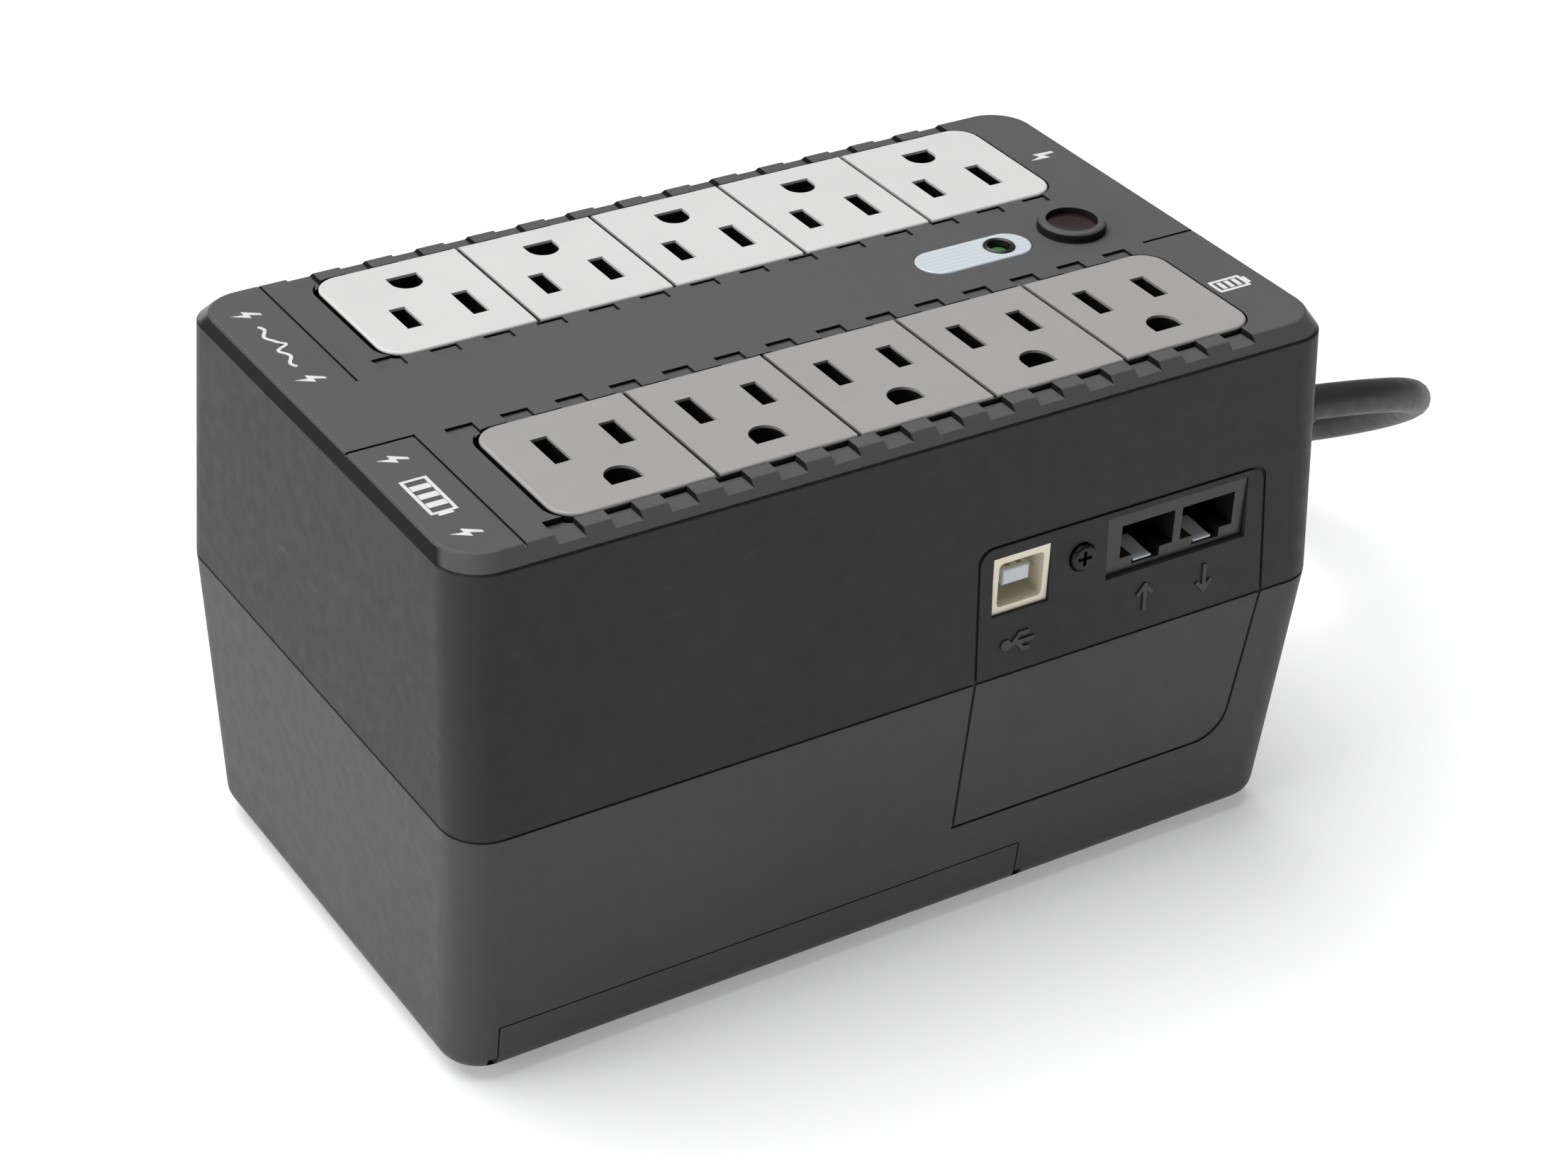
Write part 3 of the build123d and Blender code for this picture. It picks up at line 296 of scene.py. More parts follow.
def housing_plastic():
    """Charcoal plastic: grained walls, a crown painted paler on its level top and long bevels as painted
    light, and painted black shade in its steep faces and along the bevels' foot.
    """
    made = Surface("housing_plastic", Specular_IOR_Level=0.2)
    high = made.add("ShaderNodeSeparateXYZ", made.place).outputs["Z"]
    above = made.spread(high, 0, 1, CROWN_LOW - TONE_EDGE, CROWN_LOW + TONE_EDGE)
    normal = made.nodes["Texture Coordinate"].outputs["Normal"]
    upright = made.add("ShaderNodeSeparateXYZ", normal).outputs["Z"]
    level = made.spread(upright, 0, 1, 0.80, 0.94)
    crown = made.maths("MULTIPLY", above, level)
    band = made.maths("SUBTRACT", above, crown)
    cloud = made.spread(made.noise(30, 4.0), 0, 1)
    cover = made.blend(cloud, shade(COVER_COLOUR, 0.95), shade(COVER_COLOUR, 1.05))
    case = made.blend(cloud, shade(CASE_COLOUR, 0.95), shade(CASE_COLOUR, 1.05))
    # Cover walls darker than case walls: partly two-tone plastic, partly painted shade.
    walls = made.blend(made.spread(high, 1, 0, SEAM - TONE_EDGE, SEAM + TONE_EDGE), cover, case)
    # Painted light: the level crown gets a paler colour than the walls.
    top = made.blend(cloud, shade(PAINTED_LIT_CROWN_COLOUR, 0.96), shade(PAINTED_LIT_CROWN_COLOUR, 1.04))
    scuffs = made.spread(made.noise(140, 6.0, (1, 1, 4)), 0, 0.10, 0.66, 0.74)
    walls = made.blend(scuffs, walls, shade(CASE_COLOUR, 1.5))
    sloped = made.spread(upright, 0, 1, 0.50, 0.62)
    # Painted shade: a black line along the foot of the bevels.
    painted_shade_line = made.spread(high, 1, 0, CROWN_LOW + 0.30 * MM, CROWN_LOW + 0.40 * MM)
    # Painted shade on the steep faces, painted light on the sloped long bevels.
    steep = made.blend(sloped, PAINTED_SHADE_COLOUR, PAINTED_LIT_SLOPE_COLOUR)
    painted_band_tones = made.blend(painted_shade_line, steep, PAINTED_SHADE_COLOUR)
    made.colour(made.blend(band, made.blend(crown, walls, top), painted_band_tones))
    grain = made.spread(made.noise(320, 3.0), 0.48, 0.58)
    matt = made.maths("MULTIPLY", band, made.spread(upright, 0.35, -0.18, 0.50, 0.62))
    made.roughness(made.maths("ADD", grain, matt))
    made.bump((made.noise(2200, 2.0), 0.000010), (made.noise(700, 2.0), 0.000010))
    return made.material


def outlet_face(name, colour, top_z):
    """Satin plate plastic that is black below the face: black shutters in the slots, and painted shade on the
    slot walls, the lines between outlets and the plate's sides.
    """
    made = Surface(name, Specular_IOR_Level=0.45)
    cloud = made.spread(made.noise(45, 4.0), 0, 1)
    face = made.blend(cloud, shade(colour, 0.985), shade(colour, 1.015))
    high = made.add("ShaderNodeSeparateXYZ", made.place).outputs["Z"]
    # Black below the face: partly the shutters in the slots, partly painted shade in the grooves, slot walls
    # and plate sides.
    shutters_and_painted_shade = made.spread(high, 1, 0, top_z - 0.62 * MM, top_z - 0.42 * MM)
    made.colour(made.blend(shutters_and_painted_shade, face, (0.006, 0.006, 0.006)))
    made.roughness(made.spread(made.noise(320, 3.0), 0.38, 0.46))
    made.bump((made.noise(1800, 2.0), 0.00001), (made.noise(90, 2.0), 0.000015))
    return made.material


def printed_label():
    """Pale satin film with faint rules across it."""
    made = Surface("printed_label", Coat_Weight=0.4, Coat_Roughness=0.2)
    rules = made.add("ShaderNodeTexWave", made.place, wave_type="BANDS", bands_direction="Y")
    rules.inputs["Scale"].default_value = 260.0
    rules.inputs["Distortion"].default_value = 1.5
    rules.inputs["Detail"].default_value = 2.0
    rules.inputs["Detail Scale"].default_value = 60.0
    faint = made.spread(rules.outputs["Fac"], 0, 0.4, 0.75, 0.95)
    made.colour(made.blend(faint, (0.60, 0.66, 0.69), (0.38, 0.45, 0.50)))
    made.roughness(made.spread(made.noise(300, 3.0), 0.30, 0.42))
    made.bump((made.noise(1500, 2.0), 0.000004))
    return made.material


def clear_green():
    """Green lens over a lit lamp."""
    made = Surface("clear_green", Transmission_Weight=0.35, IOR=1.49, Emission_Strength=0.05)
    cloud = made.spread(made.noise(900, 2.0), 0, 1)
    made.colour(made.blend(cloud, (0.03, 0.15, 0.025), (0.07, 0.26, 0.05)))
    made.set("Emission_Color", (0.10, 0.55, 0.08))
    made.roughness(made.spread(made.noise(500, 2.0), 0.08, 0.16))
    return made.material


# A band texture repeats every 0.314 m at a scale of 1.
BAND_PERIOD = 0.314


def wound(name, colour, pitch, low_rough, high_rough):
    """Wire or tape laid in close turns."""
    made = Surface(name)
    turns = made.add("ShaderNodeTexWave", made.place, wave_type="BANDS", bands_direction="Z")
    turns.inputs["Scale"].default_value = BAND_PERIOD / pitch
    turns.inputs["Distortion"].default_value = 0.6
    turns.inputs["Detail Scale"].default_value = 300.0
    made.colour(made.blend(turns.outputs["Fac"], shade(colour, 0.45), colour))
    made.roughness(made.spread(made.noise(500, 2.0), low_rough, high_rough))
    made.bump((turns.outputs["Fac"], 0.0002))
    return made.material


def laminated():
    """Varnished steel sheets, stacked along X."""
    made = Surface("laminated_core", Metallic=0.6)
    sheets = made.add("ShaderNodeTexWave", made.place, wave_type="BANDS", bands_direction="X")
    sheets.inputs["Scale"].default_value = 620.0
    made.colour(made.blend(sheets.outputs["Fac"], (0.05, 0.05, 0.055), (0.16, 0.16, 0.17)))
    made.roughness(made.spread(made.noise(200, 3.0), 0.35, 0.6))
    made.bump((sheets.outputs["Fac"], 0.00005))
    return made.material


def circuit():
    """Green solder mask with copper tracks that show through it."""
    made = Surface("circuit_board", Coat_Weight=0.3, Coat_Roughness=0.15)
    tracks = made.add("ShaderNodeTexBrick", made.place, (1, 1, 1, 1), (0, 0, 0, 1), (0.5, 0.5, 0.5, 1))
    tracks.inputs["Scale"].default_value = 160.0
    tracks.inputs["Mortar Size"].default_value = 0.03
    made.colour(made.blend(tracks.outputs["Fac"], (0.012, 0.10, 0.035), (0.05, 0.22, 0.07)))
    made.roughness(made.spread(made.noise(400, 2.0), 0.25, 0.4))
    made.bump((tracks.outputs["Fac"], 0.00003))
    return made.material


def woven_tie():
    """Hook-and-loop strap: a fine crossed weave with fuzz."""
    made = Surface("woven_tie", Sheen_Weight=0.5, Sheen_Roughness=0.5)
    warp = made.add("ShaderNodeTexWave", made.place, wave_type="BANDS", bands_direction="X")
    weft = made.add("ShaderNodeTexWave", made.place, wave_type="BANDS", bands_direction="Z")
    for node in (warp, weft):
        node.inputs["Scale"].default_value = 420.0
    weave = made.maths("MULTIPLY", warp.outputs["Fac"], weft.outputs["Fac"])
    made.colour(made.blend(weave, (0.010, 0.010, 0.011), (0.035, 0.035, 0.038)))
    made.roughness(made.spread(made.noise(900, 2.0), 0.7, 0.9))
    made.bump((weave, 0.0001), (made.noise(4000, 2.0), 0.00004))
    return made.material


FINISHES = {
    "housing": housing_plastic(),
    "white_plate": outlet_face("white_plate", (0.64, 0.64, 0.63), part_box("surge_outlet_plate")[1].z),
    "gray_plate": outlet_face("gray_plate", (0.340, 0.334, 0.324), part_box("backup_outlet_plate")[1].z),
    "inner_plastic": moulded("inner_plastic", (0.018, 0.018, 0.019), 0.5, 0.62),
    "foot_rubber": moulded("foot_rubber", (0.022, 0.022, 0.022), 0.75, 0.9, 2600, 0.00003),
    "screw_steel": metal("zinc_plate", (0.56, 0.56, 0.54), 0.25, 0.42),
    "button_plastic": moulded(
        "button_plastic", (0.020, 0.008, 0.008), 0.10, 0.16, depth=0.000003,
        Coat_Weight=0.6, Coat_Roughness=0.06,
    ),
    "circuit_board": circuit(),
    "label_plastic": printed_label(),
    "lens_green": clear_green(),
    "relay_plastic": moulded("relay_plastic", (0.012, 0.012, 0.014), 0.22, 0.34),
    "capacitor_sleeve": moulded("capacitor_sleeve", (0.014, 0.030, 0.075), 0.2, 0.3),
    "heat_sink": metal("extruded_aluminium", (0.62, 0.63, 0.65), 0.3, 0.45, (8, 8, 1)),
    "copper_wire": wound("enamelled_wire", (0.42, 0.14, 0.05), 0.0009, 0.25, 0.4),
    "varistor": moulded("epoxy_coat", (0.03, 0.09, 0.30), 0.2, 0.35),
    "fuse_glass": moulded(
        "fuse_glass", (0.75, 0.80, 0.80), 0.05, 0.09, depth=0.000002, Transmission_Weight=0.8, IOR=1.5
    ),
    "core_steel": laminated(),
    "winding": wound("taped_winding", (0.50, 0.38, 0.07), 0.0030, 0.35, 0.5),
    "bracket_steel": metal("plated_sheet", (0.50, 0.50, 0.49), 0.3, 0.5, (1, 6, 6)),
    "battery_case": moulded("battery_case", (0.045, 0.045, 0.048), 0.4, 0.55),
    "pad_foam": moulded("pad_foam", (0.03, 0.03, 0.03), 0.85, 0.95, 1300, 0.0002),
    "lead_red": moulded("lead_red", (0.42, 0.02, 0.02), 0.3, 0.42),
    "lead_black": moulded("lead_black", (0.015, 0.015, 0.015), 0.3, 0.42),
    "port_shell": moulded(
        "cream_plated_shell", (0.82, 0.76, 0.60), 0.24, 0.34, depth=0.000004, mottle=0.04, Metallic=0.15
    ),
    "port_tongue": moulded("port_tongue", (0.66, 0.71, 0.75), 0.35, 0.45, mottle=0.03),
    "jack_plastic": moulded("jack_plastic", (0.012, 0.012, 0.012), 0.32, 0.42),
    "contact_gold": metal("gold_plate", (0.83, 0.62, 0.26), 0.16, 0.3),
    "black_screw": metal("black_oxide", (0.035, 0.035, 0.037), 0.3, 0.45),
    "breaker_white": moulded("breaker_white", (0.70, 0.69, 0.66), 0.2, 0.3, mottle=0.02),
    "tie_fabric": woven_tie(),
    "cord_rubber": moulded("cord_jacket", (0.016, 0.016, 0.017), 0.42, 0.56, 1500, 0.00002),
    "blade_brass": metal("nickel_plate", (0.66, 0.62, 0.52), 0.2, 0.35),
    "contact_brass": metal("stamped_brass", (0.72, 0.53, 0.22), 0.25, 0.4),
}
WHITE_PRINT = moulded("white_print", (0.70, 0.70, 0.69), 0.45, 0.58, mottle=0.04)
EMBOSSED = moulded("embossed_mark", (0.011, 0.011, 0.012), 0.3, 0.4, mottle=0.03)


def dress(piece, material):
    """Give a piece one material."""
    piece.data.materials.clear()
    piece.data.materials.append(material)


for subpart in frame["record"]["subparts"]:
    dress(frame["nodes"][subpart["node"]], FINISHES[subpart["material_slot"]])
dress(mains_cord, FINISHES["cord_rubber"])


# ---- Mesh helpers -------------------------------------------------------------
def piece_from(name, vertices, faces, slot, material=None, smooth_angle=35):
    """A new piece from vertices and faces, riding on the housing, in its slot's finish or another."""
    data = bpy.data.meshes.new(name)
    data.from_pydata([tuple(v) for v in vertices], [], faces)
    mesh = bmesh.new()
    mesh.from_mesh(data)
    bmesh.ops.recalc_face_normals(mesh, faces=mesh.faces)
    mesh.to_mesh(data)
    mesh.free()
    made = bpy.data.objects.new(name, data)
    bpy.context.scene.collection.objects.link(made)
    dress(made, material or FINISHES[slot])
    data.polygons.foreach_set("use_smooth", [True] * len(data.polygons))
    data.set_sharp_from_angle(angle=math.radians(smooth_angle))
    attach(made, HOUSING)
    return made


def lofted(rings):
    """Vertices and faces of a solid through rings of equal length, closed at both ends."""
    vertices = [v for ring in rings for v in ring]
    count = len(rings[0])
    faces = []
    for level in range(len(rings) - 1):
        for index in range(count):
            after = (index + 1) % count
            low, high = level * count, (level + 1) * count
            faces.append((low + index, low + after, high + after, high + index))
    faces.append(tuple(reversed(range(count))))
    faces.append(tuple((len(rings) - 1) * count + index for index in range(count)))
    return vertices, faces


def joined(shapes):
    """Several (vertices, faces) shapes as one."""
    vertices, faces = [], []
    for more_vertices, more_faces in shapes:
        start = len(vertices)
        vertices += more_vertices
        faces += [tuple(start + index for index in face) for face in more_faces]
    return vertices, faces


# ---- Plug ----------------------------------------------------------------------
PLUG_BACK = Vector(TAIL_POINTS[-1])
PLUG_HEADING = PLUG_BACK - Vector(TAIL_POINTS[-2])
PLUG_HEADING.z = 0
PLUG_HEADING.normalize()
PLUG_SIDE = Vector((0, 0, 1)).cross(PLUG_HEADING)
RING_POINTS = 48
# Plug sizes in millimetres.
NECK_END_WIDTH = 7.6
RIB_COUNT = 5
RIB_START = 1.0
RIB_PITCH = 2.9
RIB_WIDTH = 8.6
RIB_GROWTH = 3.6
# Offset along the axis and added width at each edge of a rib.
RIB_PROFILE = ((0.0, 0.0), (0.3, 0.9), (1.5, 0.9), (1.8, 0.0))
# Distance from the back, width, height and squareness of the grip's sections.
GRIP_SECTIONS = (
    (16.0, 14.0, 13.0, 2.6), (17.2, 17.0, 15.4, 2.8), (19.0, 18.6, 16.6, 3.0),
    (30.0, 21.0, 18.6, 3.2), (40.0, 24.6, 21.4, 3.6), (43.4, 25.6, 22.6, 3.8),
    (44.4, 24.9, 21.9, 3.8), (45.2, 25.9, 22.9, 3.9), (49.3, 25.9, 22.9, 3.9),
    (50.0, 25.0, 22.0, 3.9),
)


def plug_ring(distance, width, height, squareness):
    """One rounded section of the plug, square to its axis; squareness 2 is an ellipse."""
    ring = []
    for index in range(RING_POINTS):
        angle = 2 * math.pi * index / RING_POINTS
        across = math.copysign(abs(math.cos(angle)) ** (2 / squareness), math.cos(angle)) * width / 2
        up = math.copysign(abs(math.sin(angle)) ** (2 / squareness), math.sin(angle)) * height / 2
        ring.append(PLUG_BACK + PLUG_HEADING * distance + PLUG_SIDE * across + Vector((0, 0, up)))
    return ring


def plug_shape():
    """Ribbed neck that swells into a rounded grip, and a flat face for the blades."""
    rings = [plug_ring(0, NECK_END_WIDTH * MM, NECK_END_WIDTH * MM, 2)]
    for rib in range(RIB_COUNT):
        start = (RIB_START + rib * RIB_PITCH) * MM
        share = rib / (RIB_COUNT - 1)
        width = (RIB_WIDTH + RIB_GROWTH * share) * MM
        for offset, swell in RIB_PROFILE:
            size = width + swell * MM
            rings.append(plug_ring(start + offset * MM, size, size, 2.2))
    for distance, width, height, squareness in GRIP_SECTIONS:
        rings.append(plug_ring(distance * MM, width * MM, height * MM, squareness))
    return lofted(rings)


mains_plug = piece_from("mains_plug", *plug_shape(), "cord_rubber", smooth_angle=40)
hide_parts("plug_body")

# ---- Printed and embossed marks ---------------------------------------------------
cover = frame["nodes"]["top_cover"]
PRINT_THICKNESS = 0.06 * MM
PRINT_LIFT = 0.01 * MM
LAYER_STEP = 0.004 * MM
RELIEF_THICKNESS = 0.3 * MM
MARK_STROKE = 0.65 * MM
RELIEF_STROKE = 0.8 * MM
TERMINAL_STROKE = 0.9 * MM
# Rays at the cover start this far outside it, in metres.
RAY_START = 0.2


def on_crown(x, y, lift):
    """A point above the cover's top face."""
    hit, place, _, _ = cover.ray_cast(Vector((x, y, RAY_START)), Vector((0, 0, -1)))
    return Vector((x, y, (place.z if hit else cad_box[1].z) + lift))


def on_front(x, z, lift):
    """A point in front of the cover's port face."""
    hit, place, _, _ = cover.ray_cast(Vector((x, -RAY_START, z)), Vector((0, 1, 0)))
    return Vector((x, (place.y if hit else cad_box[0].y) - lift, z))


def slab(outline, place, thickness):
    """A thin solid over a closed outline; place turns an outline point and a lift into a point."""
    low = [place(u, v, PRINT_LIFT) for u, v in outline]
    high = [place(u, v, PRINT_LIFT + thickness) for u, v in outline]
    return lofted([low, high])


def stroke(points, width, closed=False):
    """Quads that follow a line of points at one width, with square joints."""
    ends = list(zip(points, points[1:] + points[:1])) if closed else list(zip(points, points[1:]))
    outlines = []
    for (x0, y0), (x1, y1) in ends:
        along = Vector((x1 - x0, y1 - y0)).normalized() * width / 2
        side = Vector((-along.y, along.x))
        start, end = Vector((x0, y0)) - along, Vector((x1, y1)) + along
        outlines.append([start + side, start - side, end - side, end + side])
    return [[(p.x, p.y) for p in outline] for outline in outlines]


def arc(centre, radius, start, end, count=14):
    """Points on an arc, angles in degrees."""
    return [
        (
            centre[0] + radius * math.cos(math.radians(start + (end - start) * i / count)),
            centre[1] + radius * math.sin(math.radians(start + (end - start) * i / count)),
        )
        for i in range(count + 1)
    ]


def bolt(size):
    """A lightning bolt's outline, pointing down, size high."""
    shape = [
        (0.10, 0.5), (-0.28, -0.06), (-0.03, -0.06), (-0.12, -0.5),
        (0.28, 0.10), (0.04, 0.10), (0.24, 0.5),
    ]
    return [(u * size, v * size) for u, v in shape]


def battery_icon(length, height):
    """A battery's outline, its terminal and three charge bars, as outlines."""
    half_length, half_height = length / 2, height / 2
    frame_line = [
        (-half_length, -half_height), (half_length, -half_height),
        (half_length, half_height), (-half_length, half_height),
    ]
    outlines = stroke(frame_line, MARK_STROKE, closed=True)
    terminal_x = half_length + 0.6 * MM
    outlines += stroke([(terminal_x, -height / 5), (terminal_x, height / 5)], TERMINAL_STROKE)
    for index in range(3):
        middle = -half_length + length * (index + 0.9) / 3.8
        outlines += stroke([(middle, -height * 0.22), (middle, height * 0.22)], length / 7)
    return outlines


def ribbon(points, width):
    """The outline of a smooth line of points drawn at one width."""
    left, right = [], []
    for index, (x, y) in enumerate(points):
        before = Vector(points[max(index - 1, 0)])
        after = Vector(points[min(index + 1, len(points) - 1)])
        side = Vector((before.y - after.y, after.x - before.x)).normalized() * width / 2
        left.append((x + side.x, y + side.y))
        right.append((x - side.x, y - side.y))
    return left + right[::-1]


def surge_icon(length):
    """A wave with one tall crest in its middle, as outlines."""
    points = []
    count = 60
    for index in range(count + 1):
        share = index / count
        wave = 0.6 * math.sin(share * 6 * math.pi)
        crest = 1.7 * math.exp(-(((share - 0.5) / 0.055) ** 2))
        points.append(((share - 0.5) * length, (wave + crest) * MM))
    return [ribbon(points, MARK_STROKE)]


def turned(outlines, angle, x, y):
    """Outlines turned by an angle in degrees and moved to a place."""
    turn = Matrix.Rotation(math.radians(angle), 2)
    return [[tuple(turn @ Vector(p) + Vector((x, y))) for p in outline] for outline in outlines]


def mark(name, outlines, place, thickness, material, slot):
    """One printed or embossed mark from its outlines, each a little higher than the one before."""
    shapes = [slab(outline, place, thickness + index * LAYER_STEP) for index, outline in enumerate(outlines)]
    return piece_from(name, *joined(shapes), slot, material=material, smooth_angle=20)


surge_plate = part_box("surge_outlet_plate")
backup_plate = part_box("backup_outlet_plate")
button_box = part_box("power_button")
usb_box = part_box("usb_shell")
jack_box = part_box("jack_housing")
BANK_BOLT = 5.2 * MM
BANK_BOLT_OFFSET = 13 * MM
END_BOLT = 6.2 * MM
margin_x = (cad_box[0].x + surge_plate[0].x) / 2 - 2.6 * MM
bank_marks = (
    ("surge_mark", (surge_plate[0].y + surge_plate[1].y) / 2 - 3 * MM, surge_icon(16 * MM)),
    ("battery_mark", (backup_plate[0].y + backup_plate[1].y) / 2 + 1 * MM, battery_icon(11 * MM, 4.4 * MM)),
)
for mark_name, mark_y, outlines in bank_marks:
    outlines = turned(outlines, -90, margin_x, mark_y)
    for side in (-1, 1):
        outlines += turned([bolt(BANK_BOLT)], -90, margin_x, mark_y + side * BANK_BOLT_OFFSET)
    mark(mark_name, outlines, on_crown, PRINT_THICKNESS, WHITE_PRINT, "white_plate")

end_margin_x = surge_plate[1].x + 4.2 * MM
mark(
    "surge_icon", turned([bolt(END_BOLT)], -60, end_margin_x, button_box[1].y + 22 * MM),
    on_crown, PRINT_THICKNESS, WHITE_PRINT, "white_plate",
)
mark(
    "battery_icon",
    turned(battery_icon(6.4 * MM, 3.6 * MM), 0, end_margin_x - 1 * MM, button_box[0].y - 26 * MM),
    on_crown, PRINT_THICKNESS, WHITE_PRINT, "white_plate",
)


def arrow(length, direction):
    """A straight arrow along U, as outlines."""
    tip = direction * length / 2
    head = direction * 1.5 * MM
    return stroke([(-tip, 0), (tip, 0)], RELIEF_STROKE) + stroke(
        [(tip - head, 1.4 * MM), (tip, 0), (tip - head, -1.4 * MM)], RELIEF_STROKE
    )


usb_middle = (usb_box[0].x + usb_box[1].x) / 2
fork = stroke([(-2.8 * MM, 0), (2.8 * MM, 0)], RELIEF_STROKE)
fork += [arc((-3.0 * MM, 0), 1.1 * MM, 0, 345)]
fork += stroke([(-1.5 * MM, 0), (0.0, 1.6 * MM), (1.6 * MM, 1.6 * MM)], RELIEF_STROKE)
fork += stroke([(-0.6 * MM, 0), (0.6 * MM, -1.6 * MM), (1.8 * MM, -1.6 * MM)], RELIEF_STROKE)
mark(
    "data_port_mark", turned(fork, 0, usb_middle, usb_box[0].z - 6.4 * MM),
    on_front, RELIEF_THICKNESS, EMBOSSED, "housing",
)
jack_middle = (jack_box[0].x + jack_box[1].x) / 2
JACK_HALF_PITCH = 6.825 * MM
for arrow_name, side, direction in (("line_out_mark", -1, 1), ("line_in_mark", 1, -1)):
    arrow_x = jack_middle + side * JACK_HALF_PITCH
    mark(
        arrow_name, turned(arrow(4.8 * MM, direction), 90, arrow_x, jack_box[0].z - 6.0 * MM),
        on_front, RELIEF_THICKNESS, EMBOSSED, "housing",
    )


# ---- Latch plates in the jacks and contacts in the data port -------------------------
def bar(low, high):
    """A small box with bevelled edges, as a shape."""
    mesh = bmesh.new()
    bmesh.ops.create_cube(mesh, size=1.0)
    for vertex in mesh.verts:
        vertex.co = [low[i] + (vertex.co[i] + 0.5) * (high[i] - low[i]) for i in range(3)]
    bmesh.ops.bevel(mesh, geom=mesh.edges[:], offset=CONTACT_BEVEL, segments=2, affect="EDGES")
    mesh.verts.index_update()
    shape = ([v.co.copy() for v in mesh.verts], [tuple(v.index for v in f.verts) for f in mesh.faces])
    mesh.free()
    return shape


CONTACT_HALF_PITCH = 1.25 * MM
CONTACT_HALF_WIDTH = 0.5 * MM
CONTACT_HALF_THICKNESS = 0.15 * MM
CONTACT_BEVEL = 0.06 * MM
tongue_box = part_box("usb_tongue")
strips = []
for row_z in (tongue_box[0].z - 0.05 * MM, tongue_box[1].z + 0.05 * MM):
    for side in (-1, 1):
        strip_x = usb_middle + side * CONTACT_HALF_PITCH
        strips.append(bar(
            (strip_x - CONTACT_HALF_WIDTH, tongue_box[0].y + 0.9 * MM, row_z - CONTACT_HALF_THICKNESS),
            (strip_x + CONTACT_HALF_WIDTH, tongue_box[1].y - 0.5 * MM, row_z + CONTACT_HALF_THICKNESS),
        ))
piece_from("data_port_contacts", *joined(strips), "contact_gold")

LATCH_WIDTH = 4.0 * MM
LATCH_REACH = 6.5 * MM
LATCH_RISE = 0.9 * MM
LATCH_THICKNESS = 0.35 * MM
LATCH_TAPER = 0.25
floor_z = jack_box[0].z + 1.2 * MM
front_y = jack_box[0].y + 0.4 * MM
latches = []
for side in (-1, 1):
    latch_x = jack_middle + side * JACK_HALF_PITCH
    rings = []
    for share in (0.0, 0.25, 0.5, 0.75, 1.0):
        y = front_y + LATCH_REACH * share
        rise = LATCH_RISE * smooth(share)
        width = LATCH_WIDTH * (1 - LATCH_TAPER * share) / 2
        rings.append([
            Vector((latch_x - width, y, floor_z + rise)), Vector((latch_x + width, y, floor_z + rise)),
            Vector((latch_x + width, y, floor_z + rise + LATCH_THICKNESS)),
            Vector((latch_x - width, y, floor_z + rise + LATCH_THICKNESS)),
        ])
    latches.append(lofted(rings))
piece_from("jack_latch_plates", *joined(latches), "port_tongue", smooth_angle=50)


# ---- Bezel round the status lamp -------------------------------------------------------
def lathed(profile, axis_x, axis_y):
    """A closed profile of (radius, height) points turned round an upright axis, as a shape."""
    sides = len(profile)
    vertices, faces = [], []
    for index in range(RING_POINTS):
        angle = 2 * math.pi * index / RING_POINTS
        start, after = index * sides, (index + 1) % RING_POINTS * sides
        for side, (radius, height) in enumerate(profile):
            vertices.append((axis_x + radius * math.cos(angle), axis_y + radius * math.sin(angle), height))
            onward = (side + 1) % sides
            faces.append((start + side, after + side, after + onward, start + onward))
    return vertices, faces


# Radius, and height over the label, in millimetres.
BEZEL_SECTION = (
    (2.2, -1.0), (2.2, 0.2), (2.5, 0.4), (2.9, 0.3), (3.1, 0.03), (2.55, 0.02), (2.55, -1.0),
)
lens_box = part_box("status_lens")
label_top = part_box("status_label")[1].z
bezel_profile = [(radius * MM, label_top + height * MM) for radius, height in BEZEL_SECTION]
bezel_x, bezel_y = (lens_box[0].x + lens_box[1].x) / 2, (lens_box[0].y + lens_box[1].y) / 2
piece_from("lamp_bezel", *lathed(bezel_profile, bezel_x, bezel_y), "jack_plastic", smooth_angle=40)

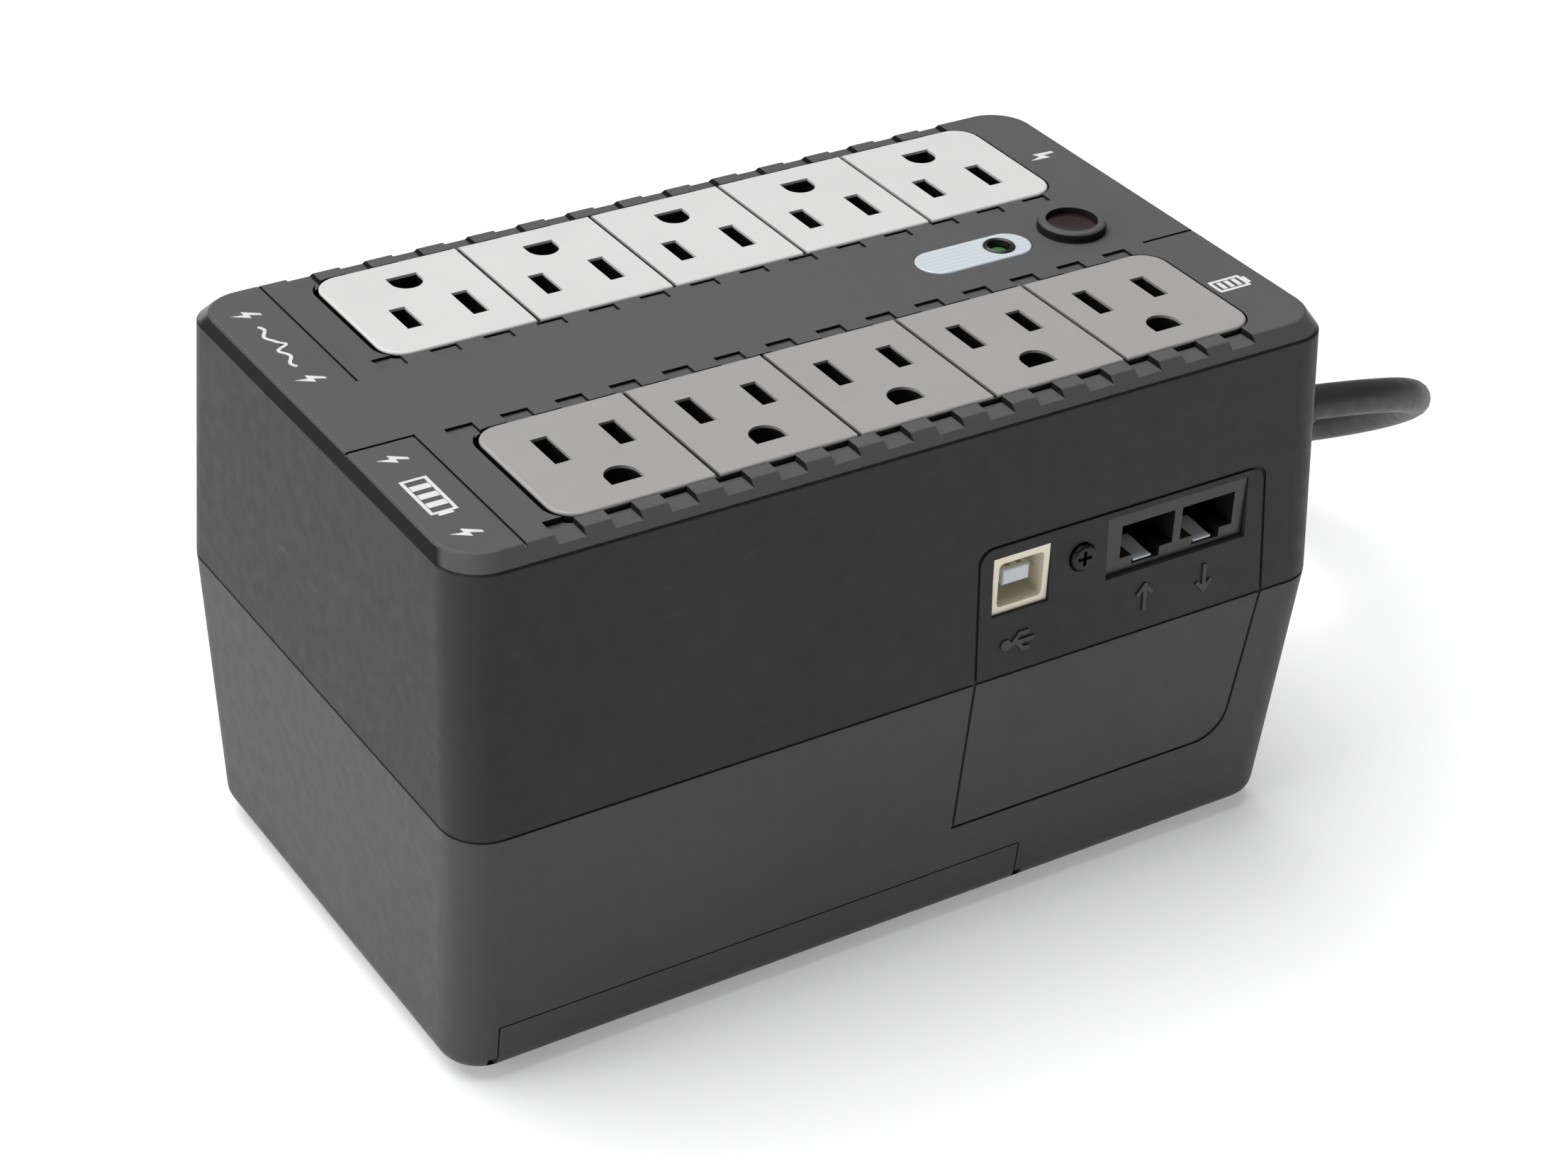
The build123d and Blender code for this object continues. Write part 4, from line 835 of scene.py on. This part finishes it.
# ---- Floor and light -------------------------------------------------------------------
floor_data = bpy.data.meshes.new("floor")
FLOOR_HALF = 17.0
floor_corners = [(FLOOR_HALF * u, FLOOR_HALF * v, 0) for u, v in ((-1, -1), (1, -1), (1, 1), (-1, 1))]
floor_data.from_pydata(floor_corners, [], [(0, 1, 2, 3)])
floor = bpy.data.objects.new("floor", floor_data)
bpy.context.scene.collection.objects.link(floor)
floor.location.z = cad_box[0].z - 0.02 * MM
floor_surface = Surface(
    "pale_floor", Roughness=0.9, Specular_IOR_Level=0.1,
    Emission_Color=(1.0, 1.0, 1.0), Emission_Strength=0.28,
)
floor_cloud = floor_surface.spread(floor_surface.noise(6, 2.0), 0, 1)
floor_surface.colour(floor_surface.blend(floor_cloud, (0.80, 0.80, 0.80), (0.82, 0.82, 0.82)))
dress(floor, floor_surface.material)


def light(name, kind, energy, place, aim, **settings):
    """A lamp at a place, pointed at another."""
    data = bpy.data.lights.new(name, kind)
    data.energy = energy
    for attribute, value in settings.items():
        setattr(data, attribute, value)
    lamp = bpy.data.objects.new(name, data)
    lamp.location = place
    lamp.rotation_euler = (Vector(aim) - Vector(place)).to_track_quat("-Z", "Y").to_euler()
    bpy.context.scene.collection.objects.link(lamp)


SUN_STRENGTH = 3.1
SOFTBOX_POWER = 9.6
SKY_STRENGTH = 0.20
centre = (cad_box[0] + cad_box[1]) / 2
light(
    "overhead_sky", "SUN", SUN_STRENGTH, centre + Vector((-0.20, 0.30, 1.0)), centre,
    angle=math.radians(60),
)
light(
    "left_softbox", "AREA", SOFTBOX_POWER, centre + Vector((-1.6, 0.1, 0.45)), centre,
    shape="RECTANGLE", size=1.0, size_y=0.6,
)
world = bpy.data.worlds.new("studio")
world.use_nodes = True
world.node_tree.nodes["Background"].inputs["Color"].default_value = (0.95, 0.97, 1.0, 1.0)
world.node_tree.nodes["Background"].inputs["Strength"].default_value = SKY_STRENGTH
bpy.context.scene.world = world
bpy.context.scene.view_settings.view_transform = "Standard"
